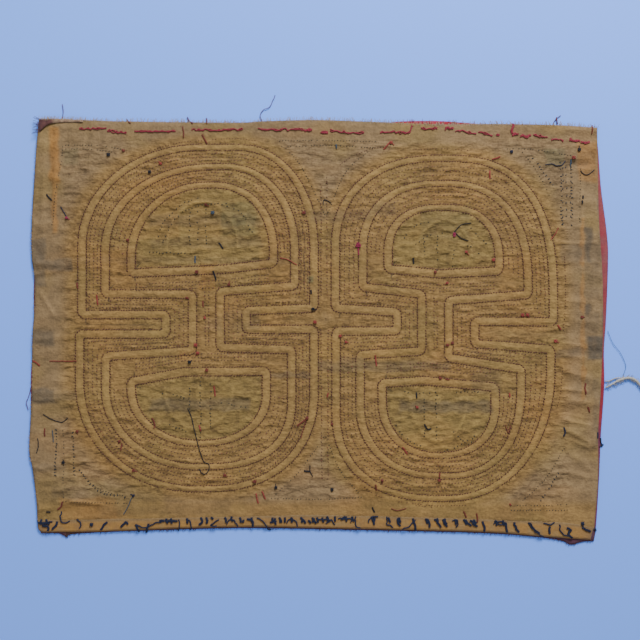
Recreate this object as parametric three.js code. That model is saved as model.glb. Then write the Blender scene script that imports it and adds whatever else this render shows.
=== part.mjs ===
// A mola panel lying face down, so that its ochre backing and the raised channels of its needlework show.
// Units are millimetres. +X runs along the long side, +Y up the short side and +Z out of the surface.
// The origin is on the surface, under the middle of the panel.
import * as THREE from 'three';

// Layers, from the surface up
const FACE_THICKNESS = 1.0;
const LAYER_GAP = 0.3;
const BACKING_BASE = FACE_THICKNESS + LAYER_GAP;

// Heights of the backing above its own underside
const EDGE_HEIGHT = 1.05;
const GROOVE_HEIGHT = 1.0;
const FIELD_HEIGHT = 1.35;
const BAND_HEIGHT = 1.85;
const FOLD_HEIGHT = 1.9;

// A raised band: its stitch lines, the shoulders between them and the foot of the strip beside it, and the share
// of its width that it keeps at a dome's crest
const STITCH_LINE = 3.25;
const SHOULDER = 1.9;
const STRIP_FOOT = 4.6;
const CORNER_CUT = 3;
const CREST_WIDTH = 0.72;

// Sewn edges and flaps
const EDGE_ROLL = 1.6;
const EDGE_STEP = 7.5;
const BINDING_THICKNESS = 1.3;
const BINDING_ROLL = 1.2;
const FLAP_THICKNESS = 1.0;
const FLAP_ROLL = 0.3;
const FLAP_BASE = BACKING_BASE + FIELD_HEIGHT + LAYER_GAP;

// The string sewn to the right edge
const STRING_DIAMETER = 2.2;
const STRING_SIDES = 8;
const STRING_STEPS = 12;
const STRING_HEIGHT = 1.15;

const QUARTER_STEPS = 9;
const CURVE_STEPS = 7;

const COLOURS = { backing: 0xc08a3e, face: 0xa8262c, binding: 0xd88a2c, flap: 0x5c2a2c, string: 0xe6dfcc };
const ROUGHNESS = { cloth: 0.9, string: 0.8 };

const table = (columns, rows) =>
  rows.map((row) => Object.fromEntries(columns.map((name, i) => [name, row[i]])));
const points = (rows) => rows.map(([x, y]) => new THREE.Vector2(x, y));

// The cloths' cut edges, each from its first corner to its last, anticlockwise round the panel
const BACKING_EDGES = {
  bottom: points([[-215, -145.6], [-198, -144.4], [-106, -143], [-53, -141.8], [8, -140.8], [123, -144],
    [184, -146.4], [210.2, -150.2]]),
  right: points([[210.2, -150.2], [213.2, -113], [213.4, -75], [215.4, -42], [217, 9], [216.4, 47],
    [214, 84], [213.3, 109], [212.5, 156]]),
  top: points([[212.5, 156], [184, 158], [135, 159], [93, 158.6], [41, 160.6], [-3, 162], [-43, 161],
    [-66, 160], [-152, 161], [-180, 162], [-214, 162.6]]),
  left: points([[-214, 162.6], [-216, 140], [-218, 109], [-219.6, 80], [-219.4, 57], [-217.4, 41],
    [-217.4, 18], [-219, -6], [-219.6, -51], [-221.4, -89], [-219, -104], [-216, -127], [-215, -145.6]]),
};
const FACE_EDGES = {
  bottom: points([[-213, -154.2], [-199, -154.4], [-192, -157.6], [-185, -154.4], [-106, -151.2],
    [-53, -150.1], [8, -151.2], [123, -153.9], [170, -157.4], [186, -160], [193, -163], [201, -160.8],
    [210.4, -160]]),
  right: points([[210.4, -160], [212, -150], [214.4, -113], [215.8, -80], [218.4, -42], [218.2, -15],
    [219.8, 9], [221.4, 54], [220.4, 76], [216, 110], [213.8, 139], [212, 155]]),
  top: points([[212, 155], [184, 157], [135, 158.4], [112, 160.2], [89, 161.6], [62, 161.2], [41, 159.6],
    [-43, 160], [-152, 160], [-212, 161.6]]),
  left: points([[-212, 161.6], [-215, 140], [-217, 109], [-218, 80], [-217.8, 57], [-218.4, 30],
    [-218.4, -6], [-220.4, -30], [-220.6, -51], [-220.6, -89], [-218, -104], [-215.6, -127], [-213, -154.2]]),
};
const BINDING_EDGES = {
  bottom: points([[-212, -153.2], [-166, -152.4], [-106, -150.1], [-53, -149], [8, -150], [123, -152.8],
    [170, -156.3], [207.6, -159]]),
  right: points([[207.6, -159], [210, -150.6]]),
  top: BACKING_EDGES.bottom.map(({ x, y }) => new THREE.Vector2(x, y - LAYER_GAP)).reverse(),
  left: points([[-215, -145.9], [-214.6, -150.5], [-212, -153.2]]),
};
const FLAP_EDGES = {
  bottom: points([[-213.6, 152.8], [-204, 159.2], [-180, 160.2]]),
  right: points([[-180, 160.2], [-180.4, 161.8]]),
  top: points([[-180.4, 161.8], [-198, 162.6], [-213.2, 162.4]]),
  left: points([[-213.2, 162.4], [-213.6, 152.8]]),
};

// The nested figures are domes above and below a waist. A dome is two quarter ovals with a short flat crest
// between them.
const DOMES = table(
  ['figure', 'level', 'lobe', 'left', 'right', 'crestLeft', 'crestRight', 'peak', 'springLeft',
    'springRight', 'bulgeLeft', 'bulgeRight'],
  [
    ['west', 1, 'upper', -181, -3.8, -91, -62, 141, 66, 63, 2, 2.12],
    ['west', 1, 'lower', -182.8, -3.8, -93, -87, -119.7, -37, -44, 2.1, 2.3],
    ['west', 2, 'upper', -163.3, -18.6, -79, -73, 126.4, 62, 62, 2.1, 2.15],
    ['west', 2, 'lower', -162.9, -20.9, -93, -88, -102.9, -44, -52, 2, 2.45],
    ['west', 3, 'upper', -143.4, -34.7, -86, -80, 112.3, 58, 61, 2, 2.15],
    ['west', 3, 'lower', -143.4, -40.2, -93, -89, -84.9, -44, -48, 2, 2.1],
    ['east', 1, 'upper', 12.6, 179, 90, 97, 132.7, 66, 24, 2.2, 2.6],
    ['east', 1, 'lower', 13, 177, 92, 98, -127, -60, -29, 2.35, 2.1],
    ['east', 2, 'upper', 33.4, 159.7, 90, 95, 113.5, 63, 36, 2.2, 2.45],
    ['east', 2, 'lower', 31.4, 154.4, 91, 95, -109.9, -56, -37, 2.15, 2.5],
    ['east', 3, 'upper', 52.8, 137.6, 93, 98, 95.2, 60, 55, 2.4, 2.3],
    ['east', 3, 'lower', 48.2, 134.6, 89, 93, -94.1, -52, -56, 2.1, 2.2],
  ],
);

// Slots that run in from each side between the two domes of a level, and stop at the waist
const SLOTS = table(
  ['figure', 'level', 'side', 'end', 'upperSide', 'upperEnd', 'lowerSide', 'lowerEnd'],
  [
    ['west', 1, 'left', -116.9, 13.4, 13.4, -1.5, -1.5],
    ['west', 1, 'right', -55.6, 18.4, 16.4, 2.1, 2.1],
    ['west', 2, 'left', -96.6, 29.3, 28.9, -18.4, -14.2],
    ['west', 2, 'right', -75.5, 35.2, 31, -13.4, -11.7],
    ['east', 1, 'left', 59.7, 18.4, 15.3, 0.8, 0.8],
    ['east', 1, 'right', 118.8, 7.7, 8.4, -13, -8.8],
    ['east', 2, 'left', 78.4, 34.4, 29.1, -17.2, -14.5],
    ['east', 2, 'right', 99.1, 28.7, 24.1, -28.3, -19.7],
  ],
);

// The flat side of each innermost dome, which bends a little at its middle
const FLATS = table(
  ['figure', 'lobe', 'left', 'middleX', 'middle', 'right'],
  [
    ['west', 'upper', 45.1, -75, 47.8, 52.4],
    ['west', 'lower', -37.7, -103, -30.4, -29.8],
    ['east', 'upper', 48.2, 92, 44.5, 46.7],
    ['east', 'lower', -39, 80, -37, -42.1],
  ],
);

// Fillers between the figures and the margins: triangles a, b, c whose sides bow in by a share of their length
const FILLERS = table(
  ['ax', 'ay', 'bx', 'by', 'cx', 'cy', 'bowAB', 'bowBC', 'bowCA'],
  [
    [-198, 141, -199, 72, -150, 138.5, 0.01, 0.05, 0.01],
    [4.6, 86, 47, 140, -25, 141, 0.05, 0.01, 0.05],
    [192, 134, 148, 138, 190, 78, 0.01, 0.05, 0.01],
    [-199, -129, -142, -131, -194, -74, 0.01, 0.02, 0.01],
    [3.6, -82, -38, -126, 32, -127, 0.03, 0.01, 0.08],
    [192, -134, 189, -76, 148, -132, 0.01, 0.03, 0.01],
  ],
);

const FILLER_GROOVE = 0.07;

// Soft folds pressed into the margins: a fold is a pointed oval from one end to the other
const FOLDS = table(
  ['fromX', 'fromY', 'toX', 'toY', 'width'],
  [
    [-215, 46, -192, 44, 9],
    [-215, 30, -197, 8, 5],
    [-214, -6, -192, -5, 6],
    [-215, -48, -192, -46, 8],
    [-214, -104, -203, -103, 5],
    [-212, -135, -203, -135, 4],
    [190, -14, 209, -19, 7],
    [188, -49, 207, -57, 5],
    [188, -66, 206, -72, 5],
    [192, 54, 210, 54, 5],
  ],
);

// A fold's foot and top: the share of its length and the share of half its width at each point
const FOLD_FOOT = [[0, 0], [0.25, -0.8], [0.6, -1], [1, 0], [0.6, 1], [0.25, 0.8]];
const FOLD_TOP = [[0.12, 0], [0.3, -0.35], [0.6, -0.4], [0.85, 0], [0.6, 0.4], [0.3, 0.35]];

// Small arch and bar inside each innermost dome, as shares of the room inside it
const MOTIF = { archReach: 0.5, archFoot: 0.25, archTop: 0.8, barFoot: 0.16, barTop: 0.52 };
const ARCH_WIDTH = 3.4;
const BAR_WIDTH = 6;
const MOTIF_HEIGHT = 1.65;
const ARCH_SHOULDER = 0.9;
const BAR_SHOULDER = 1.2;

// The string's middle line, from the cloth's edge to its free end
const STRING_ROUTE = points([[219.4, -42.5], [222.6, -40.8], [226, -38.9], [229.2, -37.2], [232.5, -35.9],
  [236, -35.2], [239.3, -35.5], [242.4, -37.2], [245, -39.7], [247.3, -42.4], [249.4, -45.4], [251.2, -48.7],
  [252.7, -52.1], [253.8, -55.7], [254.4, -59.4]]);

const find = (rows, wanted) =>
  rows.find((row) => Object.entries(wanted).every(([key, value]) => row[key] === value));

function signedArea(loop) {
  return THREE.ShapeUtils.area(loop);
}

function anticlockwise(loop) {
  return signedArea(loop) < 0 ? [...loop].reverse() : loop;
}

// A smooth edge through its given points, without its last corner
function edge(given) {
  const length = given.reduce((sum, p, i) => (i ? sum + p.distanceTo(given[i - 1]) : 0), 0);
  const steps = Math.max(1, Math.round(length / EDGE_STEP));
  return new THREE.SplineCurve(given).getSpacedPoints(steps).slice(0, -1);
}

function outline(edges) {
  return [edges.bottom, edges.right, edges.top, edges.left].flatMap(edge);
}

// Moves a closed anticlockwise loop inwards, or outwards for a negative distance, keeping its corners sharp.
// A point moves less where the loop's band is narrower.
function inset(loop, distance) {
  return loop.map((p, i) => {
    const before = loop[(i + loop.length - 1) % loop.length];
    const after = loop[(i + 1) % loop.length];
    const a = p.clone().sub(before).normalize();
    const b = after.clone().sub(p).normalize();
    const mitre = new THREE.Vector2(-a.y - b.y, a.x + b.x).divideScalar(1 + a.dot(b));
    const moved = p.clone().addScaledVector(mitre, distance * (p.breadth ?? 1));
    moved.isCorner = p.isCorner;
    return moved;
  });
}

// Cuts each marked corner with a short curve
function rounded(loop) {
  return loop.flatMap((p, i) => {
    if (!p.isCorner) {
      return [p];
    }
    const before = loop[(i + loop.length - 1) % loop.length];
    const after = loop[(i + 1) % loop.length];
    const towards = (other) => p.clone().lerp(other, Math.min(CORNER_CUT / p.distanceTo(other), 0.4));
    const curve = new THREE.QuadraticBezierCurve(towards(before), p, towards(after));
    return curve.getPoints(2);
  });
}

function corner(x, y) {
  const p = new THREE.Vector2(x, y);
  p.isCorner = true;
  return p;
}

// A quarter oval from the side of a dome to its crest, where the band is narrower
function quarter(side, spring, crest, peak, bulge) {
  const steps = [...Array(QUARTER_STEPS + 1).keys()];
  return steps.map((i) => {
    const angle = (i / QUARTER_STEPS) * (Math.PI / 2);
    const across = Math.cos(angle) ** (2 / bulge);
    const up = Math.sin(angle) ** (2 / bulge);
    const p = new THREE.Vector2(crest + (side - crest) * across, spring + (peak - spring) * up);
    p.breadth = 1 - (1 - CREST_WIDTH) * Math.sin(angle) ** 2;
    return p;
  });
}

// A whole dome, from its left spring over its crest to its right spring
function dome(figure, level, lobe) {
  const d = find(DOMES, { figure, level, lobe });
  const left = quarter(d.left, d.springLeft, d.crestLeft, d.peak, d.bulgeLeft);
  const right = quarter(d.right, d.springRight, d.crestRight, d.peak, d.bulgeRight);
  return [...left, ...right.reverse()];
}

// The line of an outer or middle band: two domes joined at a waist between two slots
function waistedLoop(figure, level) {
  const upper = find(DOMES, { figure, level, lobe: 'upper' });
  const lower = find(DOMES, { figure, level, lobe: 'lower' });
  const left = find(SLOTS, { figure, level, side: 'left' });
  const right = find(SLOTS, { figure, level, side: 'right' });
  return anticlockwise([
    corner(upper.left, left.upperSide),
    ...dome(figure, level, 'upper'),
    corner(upper.right, right.upperSide),
    corner(right.end, right.upperEnd),
    corner(right.end, right.lowerEnd),
    corner(lower.right, right.lowerSide),
    ...dome(figure, level, 'lower').reverse(),
    corner(lower.left, left.lowerSide),
    corner(left.end, left.lowerEnd),
    corner(left.end, left.upperEnd),
  ]);
}

// The line of an innermost band: one dome closed by its flat side
function domeLoop(figure, lobe) {
  const d = find(DOMES, { figure, level: 3, lobe });
  const flat = find(FLATS, { figure, lobe });
  return anticlockwise([
    corner(d.left, flat.left),
    ...dome(figure, 3, lobe),
    corner(d.right, flat.right),
    new THREE.Vector2(flat.middleX, flat.middle),
  ]);
}

// A raised band along a loop, with its two stitch grooves, and whatever lies inside it
function band(loop, inside = []) {
  const steps = [
    [-STRIP_FOOT, FIELD_HEIGHT],
    [-STITCH_LINE, GROOVE_HEIGHT],
    [-SHOULDER, BAND_HEIGHT],
    [SHOULDER, BAND_HEIGHT],
    [STITCH_LINE, GROOVE_HEIGHT],
    [STRIP_FOOT, FIELD_HEIGHT],
  ];
  return { rings: steps.map(([distance, height]) => ring(rounded(inset(loop, distance)), height)), inside };
}

function ring(loop, height) {
  return { loop, height };
}

// A low pad or ridge: its foot on the field and its top a little inside it
function ridge(loop, shoulder, height) {
  return { rings: [ring(loop, FIELD_HEIGHT), ring(inset(loop, shoulder), height)], inside: [] };
}

// A side of a filler, bowed towards the filler's middle
function bowedSide(from, to, bow) {
  const middle = from.clone().add(to).multiplyScalar(0.5);
  const inwards = new THREE.Vector2(from.y - to.y, to.x - from.x);
  const control = middle.addScaledVector(inwards, 2 * bow);
  return new THREE.QuadraticBezierCurve(from, control, to).getPoints(CURVE_STEPS).slice(0, -1);
}

function filler(row) {
  const a = new THREE.Vector2(row.ax, row.ay);
  const b = new THREE.Vector2(row.bx, row.by);
  const c = new THREE.Vector2(row.cx, row.cy);
  const loop = [...bowedSide(a, b, row.bowAB), ...bowedSide(b, c, row.bowBC), ...bowedSide(c, a, row.bowCA)];
  const middle = a.clone().add(b).add(c).divideScalar(3);
  const shrunk = (share) => anticlockwise(loop).map((p) => p.clone().lerp(middle, share));
  const rings = [
    ring(shrunk(0), FIELD_HEIGHT),
    ring(shrunk(FILLER_GROOVE), GROOVE_HEIGHT),
    ring(shrunk(2 * FILLER_GROOVE), FIELD_HEIGHT),
  ];
  return { rings, inside: [] };
}

function fold(row) {
  const from = new THREE.Vector2(row.fromX, row.fromY);
  const to = new THREE.Vector2(row.toX, row.toY);
  const across = new THREE.Vector2(from.y - to.y, to.x - from.x).setLength(row.width / 2);
  const along = (share, side) => from.clone().lerp(to, share).addScaledVector(across, side);
  const foot = FOLD_FOOT.map(([share, side]) => along(share, side));
  const top = FOLD_TOP.map(([share, side]) => along(share, side));
  return {
    rings: [ring(anticlockwise(foot), FIELD_HEIGHT), ring(anticlockwise(top), FOLD_HEIGHT)],
    inside: [],
  };
}

// The arch and the bar under it inside an innermost dome
function motif(figure, lobe) {
  const d = find(DOMES, { figure, level: 3, lobe });
  const flat = find(FLATS, { figure, lobe });
  const middle = (d.left + d.right) / 2;
  const at = (share) => flat.middle + (d.peak - flat.middle) * share;
  const outwards = Math.sign(d.peak - flat.middle);
  const arc = (grow) => {
    const reach = ((d.right - d.left) / 2) * MOTIF.archReach + grow;
    const rise = at(MOTIF.archTop) - at(MOTIF.archFoot) + grow * outwards;
    const steps = [...Array(CURVE_STEPS * 2 + 1).keys()];
    return steps.map((i) => {
      const angle = (Math.PI * i) / (CURVE_STEPS * 2);
      return new THREE.Vector2(middle - reach * Math.cos(angle), at(MOTIF.archFoot) + rise * Math.sin(angle));
    });
  };
  const arch = anticlockwise([...arc(ARCH_WIDTH / 2), ...arc(-ARCH_WIDTH / 2).reverse()]);
  const half = BAR_WIDTH / 2;
  const bar = anticlockwise(points([[middle - half, at(MOTIF.barFoot)], [middle + half, at(MOTIF.barFoot)],
    [middle + half, at(MOTIF.barTop)], [middle - half, at(MOTIF.barTop)]]));
  return [ridge(arch, ARCH_SHOULDER, MOTIF_HEIGHT), ridge(bar, BAR_SHOULDER, MOTIF_HEIGHT)];
}

function figureForm(figure) {
  const innermost = ['upper', 'lower'].map((lobe) => band(domeLoop(figure, lobe), motif(figure, lobe)));
  return band(waistedLoop(figure, 1), [band(waistedLoop(figure, 2), innermost)]);
}

// Builds a closed solid with a flat underside whose upper face follows the rings of a form
class ClothSolid {
  constructor(underside) {
    this.underside = underside;
    this.places = [];
    this.faces = [];
  }

  addLoop(loop, height) {
    const first = this.places.length / 3;
    loop.forEach((p) => this.places.push(p.x, p.y, this.underside + height));
    return { loop, ids: loop.map((_, i) => first + i) };
  }

  // Fills the space between one loop and the loops inside it
  fill(outer, holes, up = true) {
    const turned = holes.map((h) => ({ loop: [...h.loop].reverse(), ids: [...h.ids].reverse() }));
    const ids = [outer, ...turned].flatMap((part) => part.ids);
    const flat = [outer, ...turned].flatMap((part) => part.loop);
    const found = THREE.ShapeUtils.triangulateShape(outer.loop, turned.map((part) => part.loop));
    found.forEach((triangle) => {
      const facesUp = signedArea(triangle.map((i) => flat[i])) > 0;
      const [a, b, c] = facesUp === up ? triangle : [...triangle].reverse();
      this.faces.push(ids[a], ids[b], ids[c]);
    });
  }

  // Joins a loop to the next one, point to point, by a strip of faces
  join(outer, inner) {
    outer.ids.forEach((id, i) => {
      const next = (i + 1) % outer.ids.length;
      this.faces.push(id, outer.ids[next], inner.ids[next], id, inner.ids[next], inner.ids[i]);
    });
  }

  // Adds a form and returns its outermost loop, which is a hole in what surrounds it
  addForm({ rings, inside }) {
    const loops = rings.map(({ loop, height }) => this.addLoop(loop, height));
    loops.slice(1).forEach((inner, i) => this.join(loops[i], inner));
    this.fill(loops.at(-1), inside.map((form) => this.addForm(form)));
    return loops[0];
  }

  close(cutEdge, top) {
    const bottom = this.addLoop(cutEdge, 0);
    this.fill(bottom, [], false);
    this.join(bottom, top);
  }

  geometry() {
    const geometry = new THREE.BufferGeometry();
    geometry.setAttribute('position', new THREE.Float32BufferAttribute(this.places, 3));
    geometry.setIndex(this.faces);
    geometry.computeVertexNormals();
    return geometry;
  }
}

// A sheet with a rolled edge: its cut edge, the height of that edge and of its field, and the forms on it
function sheet(edges, underside, edgeHeight, fieldHeight, roll, inside = []) {
  const cutEdge = outline(edges);
  const solid = new ClothSolid(underside);
  const rings = [ring(cutEdge, edgeHeight), ring(inset(cutEdge, roll), fieldHeight)];
  const top = solid.addForm({ rings, inside });
  solid.close(cutEdge, top);
  return solid.geometry();
}

function stringTube() {
  const route = STRING_ROUTE.map(({ x, y }) => new THREE.Vector3(x, y, STRING_HEIGHT));
  const section = new THREE.Shape(
    [...Array(STRING_SIDES).keys()].map((i) => {
      const angle = (2 * Math.PI * (i + 0.5)) / STRING_SIDES;
      return new THREE.Vector2(Math.cos(angle), Math.sin(angle)).multiplyScalar(STRING_DIAMETER / 2);
    }),
  );
  const path = new THREE.CatmullRomCurve3(route);
  return new THREE.ExtrudeGeometry(section, { steps: STRING_STEPS, extrudePath: path });
}

function piece(name, geometry, color, roughness) {
  const material = new THREE.MeshStandardMaterial({ color, roughness, metalness: 0 });
  const mesh = new THREE.Mesh(geometry, material);
  mesh.name = name;
  return mesh;
}

const needlework = [...['west', 'east'].map(figureForm), ...FILLERS.map(filler), ...FOLDS.map(fold)];

const faceCloth = sheet(FACE_EDGES, 0, FACE_THICKNESS, FACE_THICKNESS, EDGE_ROLL);
const backingCloth = sheet(BACKING_EDGES, BACKING_BASE, EDGE_HEIGHT, FIELD_HEIGHT, EDGE_ROLL, needlework);
const edgeBinding = sheet(BINDING_EDGES, BACKING_BASE, EDGE_HEIGHT, BINDING_THICKNESS, BINDING_ROLL);
const cornerFlap = sheet(FLAP_EDGES, FLAP_BASE, FLAP_THICKNESS, FLAP_THICKNESS, FLAP_ROLL);

const panel = new THREE.Group();
panel.add(
  piece('face_cloth', faceCloth, COLOURS.face, ROUGHNESS.cloth),
  piece('backing_cloth', backingCloth, COLOURS.backing, ROUGHNESS.cloth),
  piece('edge_binding', edgeBinding, COLOURS.binding, ROUGHNESS.cloth),
  piece('corner_flap', cornerFlap, COLOURS.flap, ROUGHNESS.cloth),
  piece('tie_string', stringTube(), COLOURS.string, ROUGHNESS.string),
);

export default panel;
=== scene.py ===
"""A mola panel that lies face down, so that its ochre backing and the raised channels of its needlework show.

Sizes in the tables are millimetres in the part's frame, or places read from the photograph, which at()
turns into that frame. Meshes are made in metres.
"""

import math
import random

import bpy
import numpy as np
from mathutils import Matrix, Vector, kdtree


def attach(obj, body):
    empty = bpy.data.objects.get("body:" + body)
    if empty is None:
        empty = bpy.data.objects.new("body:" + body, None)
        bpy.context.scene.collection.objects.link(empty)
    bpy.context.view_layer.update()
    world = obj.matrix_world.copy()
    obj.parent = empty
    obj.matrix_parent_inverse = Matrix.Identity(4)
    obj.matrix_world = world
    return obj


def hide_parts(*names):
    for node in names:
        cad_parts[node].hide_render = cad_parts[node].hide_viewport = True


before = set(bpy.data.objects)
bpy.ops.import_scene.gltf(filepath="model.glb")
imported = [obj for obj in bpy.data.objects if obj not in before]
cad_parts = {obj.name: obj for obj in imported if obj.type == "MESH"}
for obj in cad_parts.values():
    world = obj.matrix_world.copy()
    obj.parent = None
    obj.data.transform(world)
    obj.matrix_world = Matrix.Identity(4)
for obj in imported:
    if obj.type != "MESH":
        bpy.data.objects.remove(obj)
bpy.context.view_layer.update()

MM = 0.001

# How the photograph lies over the panel: the size of one pixel, and the pixel over the frame's origin
PIXEL = 0.765
PHOTO_X, PHOTO_Y = 319.0, 332.0
PHOTO_MIDDLE = 320.0
PHOTO_WIDTH = 640.0

# Layers, from the surface up
FACE_TOP = 1.0
BACKING_BASE = 1.3
EDGE_HEIGHT = 1.05
GROOVE_HEIGHT = 1.05
FIELD_HEIGHT = 1.35
BAND_HEIGHT = 1.8
FLAP_BASE = 2.95

# A raised band and its stitches
STITCH_LINE = 3.25
STITCH_PITCH = 2.05
CORNER_CUT = 3.0
CREST_WIDTH = 0.72
EDGE_ROLL = 2.2

STRING_DIAMETER = 2.2
STRING_HEIGHT = 1.15


def at(places):
    """Places in the photograph, in pixels, as millimetres in the part's frame."""
    places = np.asarray(places, float).reshape(-1, 2)
    return np.stack([(places[:, 0] - PHOTO_X) * PIXEL, (PHOTO_Y - places[:, 1]) * PIXEL], 1)


def set_out(name, data):
    """An object of some data, put in the scene."""
    made = bpy.data.objects.new(name, data)
    bpy.context.scene.collection.objects.link(made)
    return made


# ---------------------------------------------------------------- camera

LENS, SENSOR = 50.0, 36.0


def add_camera():
    data = bpy.data.cameras.new("camera")
    data.lens, data.sensor_width = LENS, SENSOR
    camera = set_out("camera", data)
    x, y = at((PHOTO_MIDDLE, PHOTO_MIDDLE))[0] * MM
    away = PHOTO_WIDTH * PIXEL * MM * LENS / SENSOR
    camera.location = (x, y, away + BACKING_BASE * MM)
    bpy.context.scene.camera = camera


add_camera()

# ---------------------------------------------------------------- materials


class Wire:
    """A value or a colour on its way through a material, so that maths on it can be written plainly."""

    def __init__(self, finish, socket):
        self.finish, self.socket = finish, socket

    def maths(self, operation, *values):
        return self.finish.node("ShaderNodeMath", {"operation": operation}, dict(enumerate(values)))

    def __add__(self, other):
        return self.maths("ADD", self, other)

    def __radd__(self, other):
        return self.maths("ADD", other, self)

    def __sub__(self, other):
        return self.maths("SUBTRACT", self, other)

    def __rsub__(self, other):
        return self.maths("SUBTRACT", other, self)

    def __mul__(self, other):
        return self.maths("MULTIPLY", self, other)

    def __rmul__(self, other):
        return self.maths("MULTIPLY", other, self)


SPECULAR, SHEEN_SPREAD = 0.25, 0.5


class Finish:
    """A material: its nodes, its main shader, and the one way that nodes are added to it."""

    def __init__(self, name, roughness=0.9, sheen=0.0):
        self.material = bpy.data.materials.new(name)
        self.material.use_nodes = True
        self.tree = self.material.node_tree
        self.shader = self.tree.nodes["Principled BSDF"]
        for key, value in (("Roughness", roughness), ("Specular IOR Level", SPECULAR),
                           ("Sheen Weight", sheen), ("Sheen Roughness", SHEEN_SPREAD)):
            self.shader.inputs[key].default_value = value

    def node(self, kind, settings=None, inputs=None, output=0):
        made = self.tree.nodes.new(kind)
        for key, value in (settings or {}).items():
            setattr(made, key, value)
        for key, value in (inputs or {}).items():
            socket = made.inputs[key]
            if isinstance(value, Wire):
                self.tree.links.new(value.socket, socket)
            else:
                socket.default_value = value
        return Wire(self, made.outputs[output])

    def place(self, scale):
        """The spot on the object, in millimetres times a scale for each direction."""
        spot = self.node("ShaderNodeTexCoord", output="Object")
        return self.node("ShaderNodeMapping", {}, {"Vector": spot, "Scale": [s / MM for s in scale]})

    def noise(self, size, detail, stretch=(1.0, 1.0, 1.0)):
        """Cloudy noise from 0 to 1 whose clouds are about size millimetres wide."""
        place = self.place([s / size for s in stretch])
        return self.node("ShaderNodeTexNoise", {}, {"Vector": place, "Scale": 1.0, "Detail": detail})

    def reading(self, name):
        """A value stored in the mesh's own points."""
        return self.node("ShaderNodeAttribute", {"attribute_name": name}, output="Fac")

    def ramp(self, value, low, high, to_low=0.0, to_high=1.0):
        """A value that eases from to_low to to_high while another one goes from low to high."""
        inputs = {0: value, 1: low, 2: high, 3: to_low, 4: to_high}
        return self.node("ShaderNodeMapRange", {"interpolation_type": "SMOOTHSTEP"}, inputs)

    def blend(self, first, second, share, kind="MIX"):
        settings = {"data_type": "RGBA", "blend_type": kind}
        pair = [c if isinstance(c, Wire) else (*c, 1.0) for c in (first, second)]
        return self.node("ShaderNodeMix", settings, {0: share, 6: pair[0], 7: pair[1]}, output=2)

    def toned(self, colour, tone):
        """A colour made lighter or darker by a tone."""
        grey = self.node("ShaderNodeCombineColor", {}, {0: tone, 1: tone, 2: tone})
        return self.blend(colour, grey, 1.0, "MULTIPLY")

    def finish(self, colour, height=None, depth=0.1, roughness=None):
        self.tree.links.new(colour.socket, self.shader.inputs["Base Color"])
        if height is not None:
            bump = self.node("ShaderNodeBump", {}, {"Height": height, "Strength": 1.0, "Distance": depth * MM})
            self.tree.links.new(bump.socket, self.shader.inputs["Normal"])
        if roughness is not None:
            self.tree.links.new(roughness.socket, self.shader.inputs["Roughness"])
        return self.material


OCHRE_BAND = (0.250, 0.147, 0.039)
OCHRE_STRIP = (0.240, 0.137, 0.036)
OCHRE_INNER = (0.216, 0.137, 0.034)
OCHRE_MARGIN = (0.216, 0.136, 0.052)
# Grey of real stains, and of painted shade along the margins' folds
STAIN_AND_FOLD_SHADE_GREY = (0.085, 0.066, 0.037)
WARM_ORANGE = (0.285, 0.125, 0.022)
GREY_GREEN_DARK = (0.090, 0.100, 0.038)
# Brown of the painted shade in the cloth's grooves and folds
PAINTED_SHADE_BROWN = (0.050, 0.021, 0.008)


# How little the noise that draws a cloth's threads varies along a thread, beside its change across one
THREAD_STRETCH = 0.15


def weave(finish, size=0.9):
    """The threads of plain cloth: fine uneven lines both ways, from 0 to 1."""
    across = finish.noise(size, 1.0, (THREAD_STRETCH, 1.0, 1.0))
    along = finish.noise(size, 1.0, (1.0, THREAD_STRETCH, 1.0))
    return (across + along) * 0.5


def puckers(finish, along, line, size, reach):
    """Folds that run across a line of stitches: noise drawn out along one reading and squeezed along another."""
    spot = finish.node("ShaderNodeCombineXYZ", {}, {0: along * (1 / size), 1: line * (1 / reach), 2: 0.0})
    return finish.node("ShaderNodeTexNoise", {}, {"Vector": spot, "Scale": 1.0, "Detail": 1.5})


def valley(finish, value, at_value, half, depth):
    """Thin lines, from 0 to depth, where a noise passes one value: the bottoms of creases, which take painted shade."""
    off = finish.node("ShaderNodeMath", {"operation": "ABSOLUTE"}, {0: value - at_value})
    return finish.ramp(off, 0.0, half, depth, 0.0)


# Distances from a band's middle line, in millimetres, over which each thing comes in or fades out
BAND_OUT, FIELD_IN, GATHERS_OUT = (2.4, 3.2), (2.8, 4.2), (5.0, 8.6)
GROOVE_IN, GROOVE_OUT = (2.7, 3.2), (3.3, 3.9)
PULL_IN, PULL_OUT = (2.2, 3.0), (3.4, 4.8)
# How much painted shade, in brown, darkens the hollows of each kind of fold
SHADES = {"groove": 0.32, "pull": 0.10, "gathers": 0.30, "wrinkles": 0.22, "creases": 0.30, "ticks": 0.14}
# What the cloth's tone and its bumps are made of, and how much of each
TONES = {"cloud": 0.70, "fine": 0.65, "grain": 0.55, "threads": 0.30, "faded": 0.09, "ridge": 0.30}
TONE_BASE = -0.13
BUMPS = {"pull": 0.2, "threads": 0.4, "grain": 0.8, "fine": 1.6, "gathers": 2.6, "wrinkles": 4.2, "creases": 3.6}
BUMP_DEPTH = 0.48
# How much wrinkles show on a band, and how much more beside it
WRINKLED, MORE_WRINKLED = 0.65, 0.35


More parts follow.
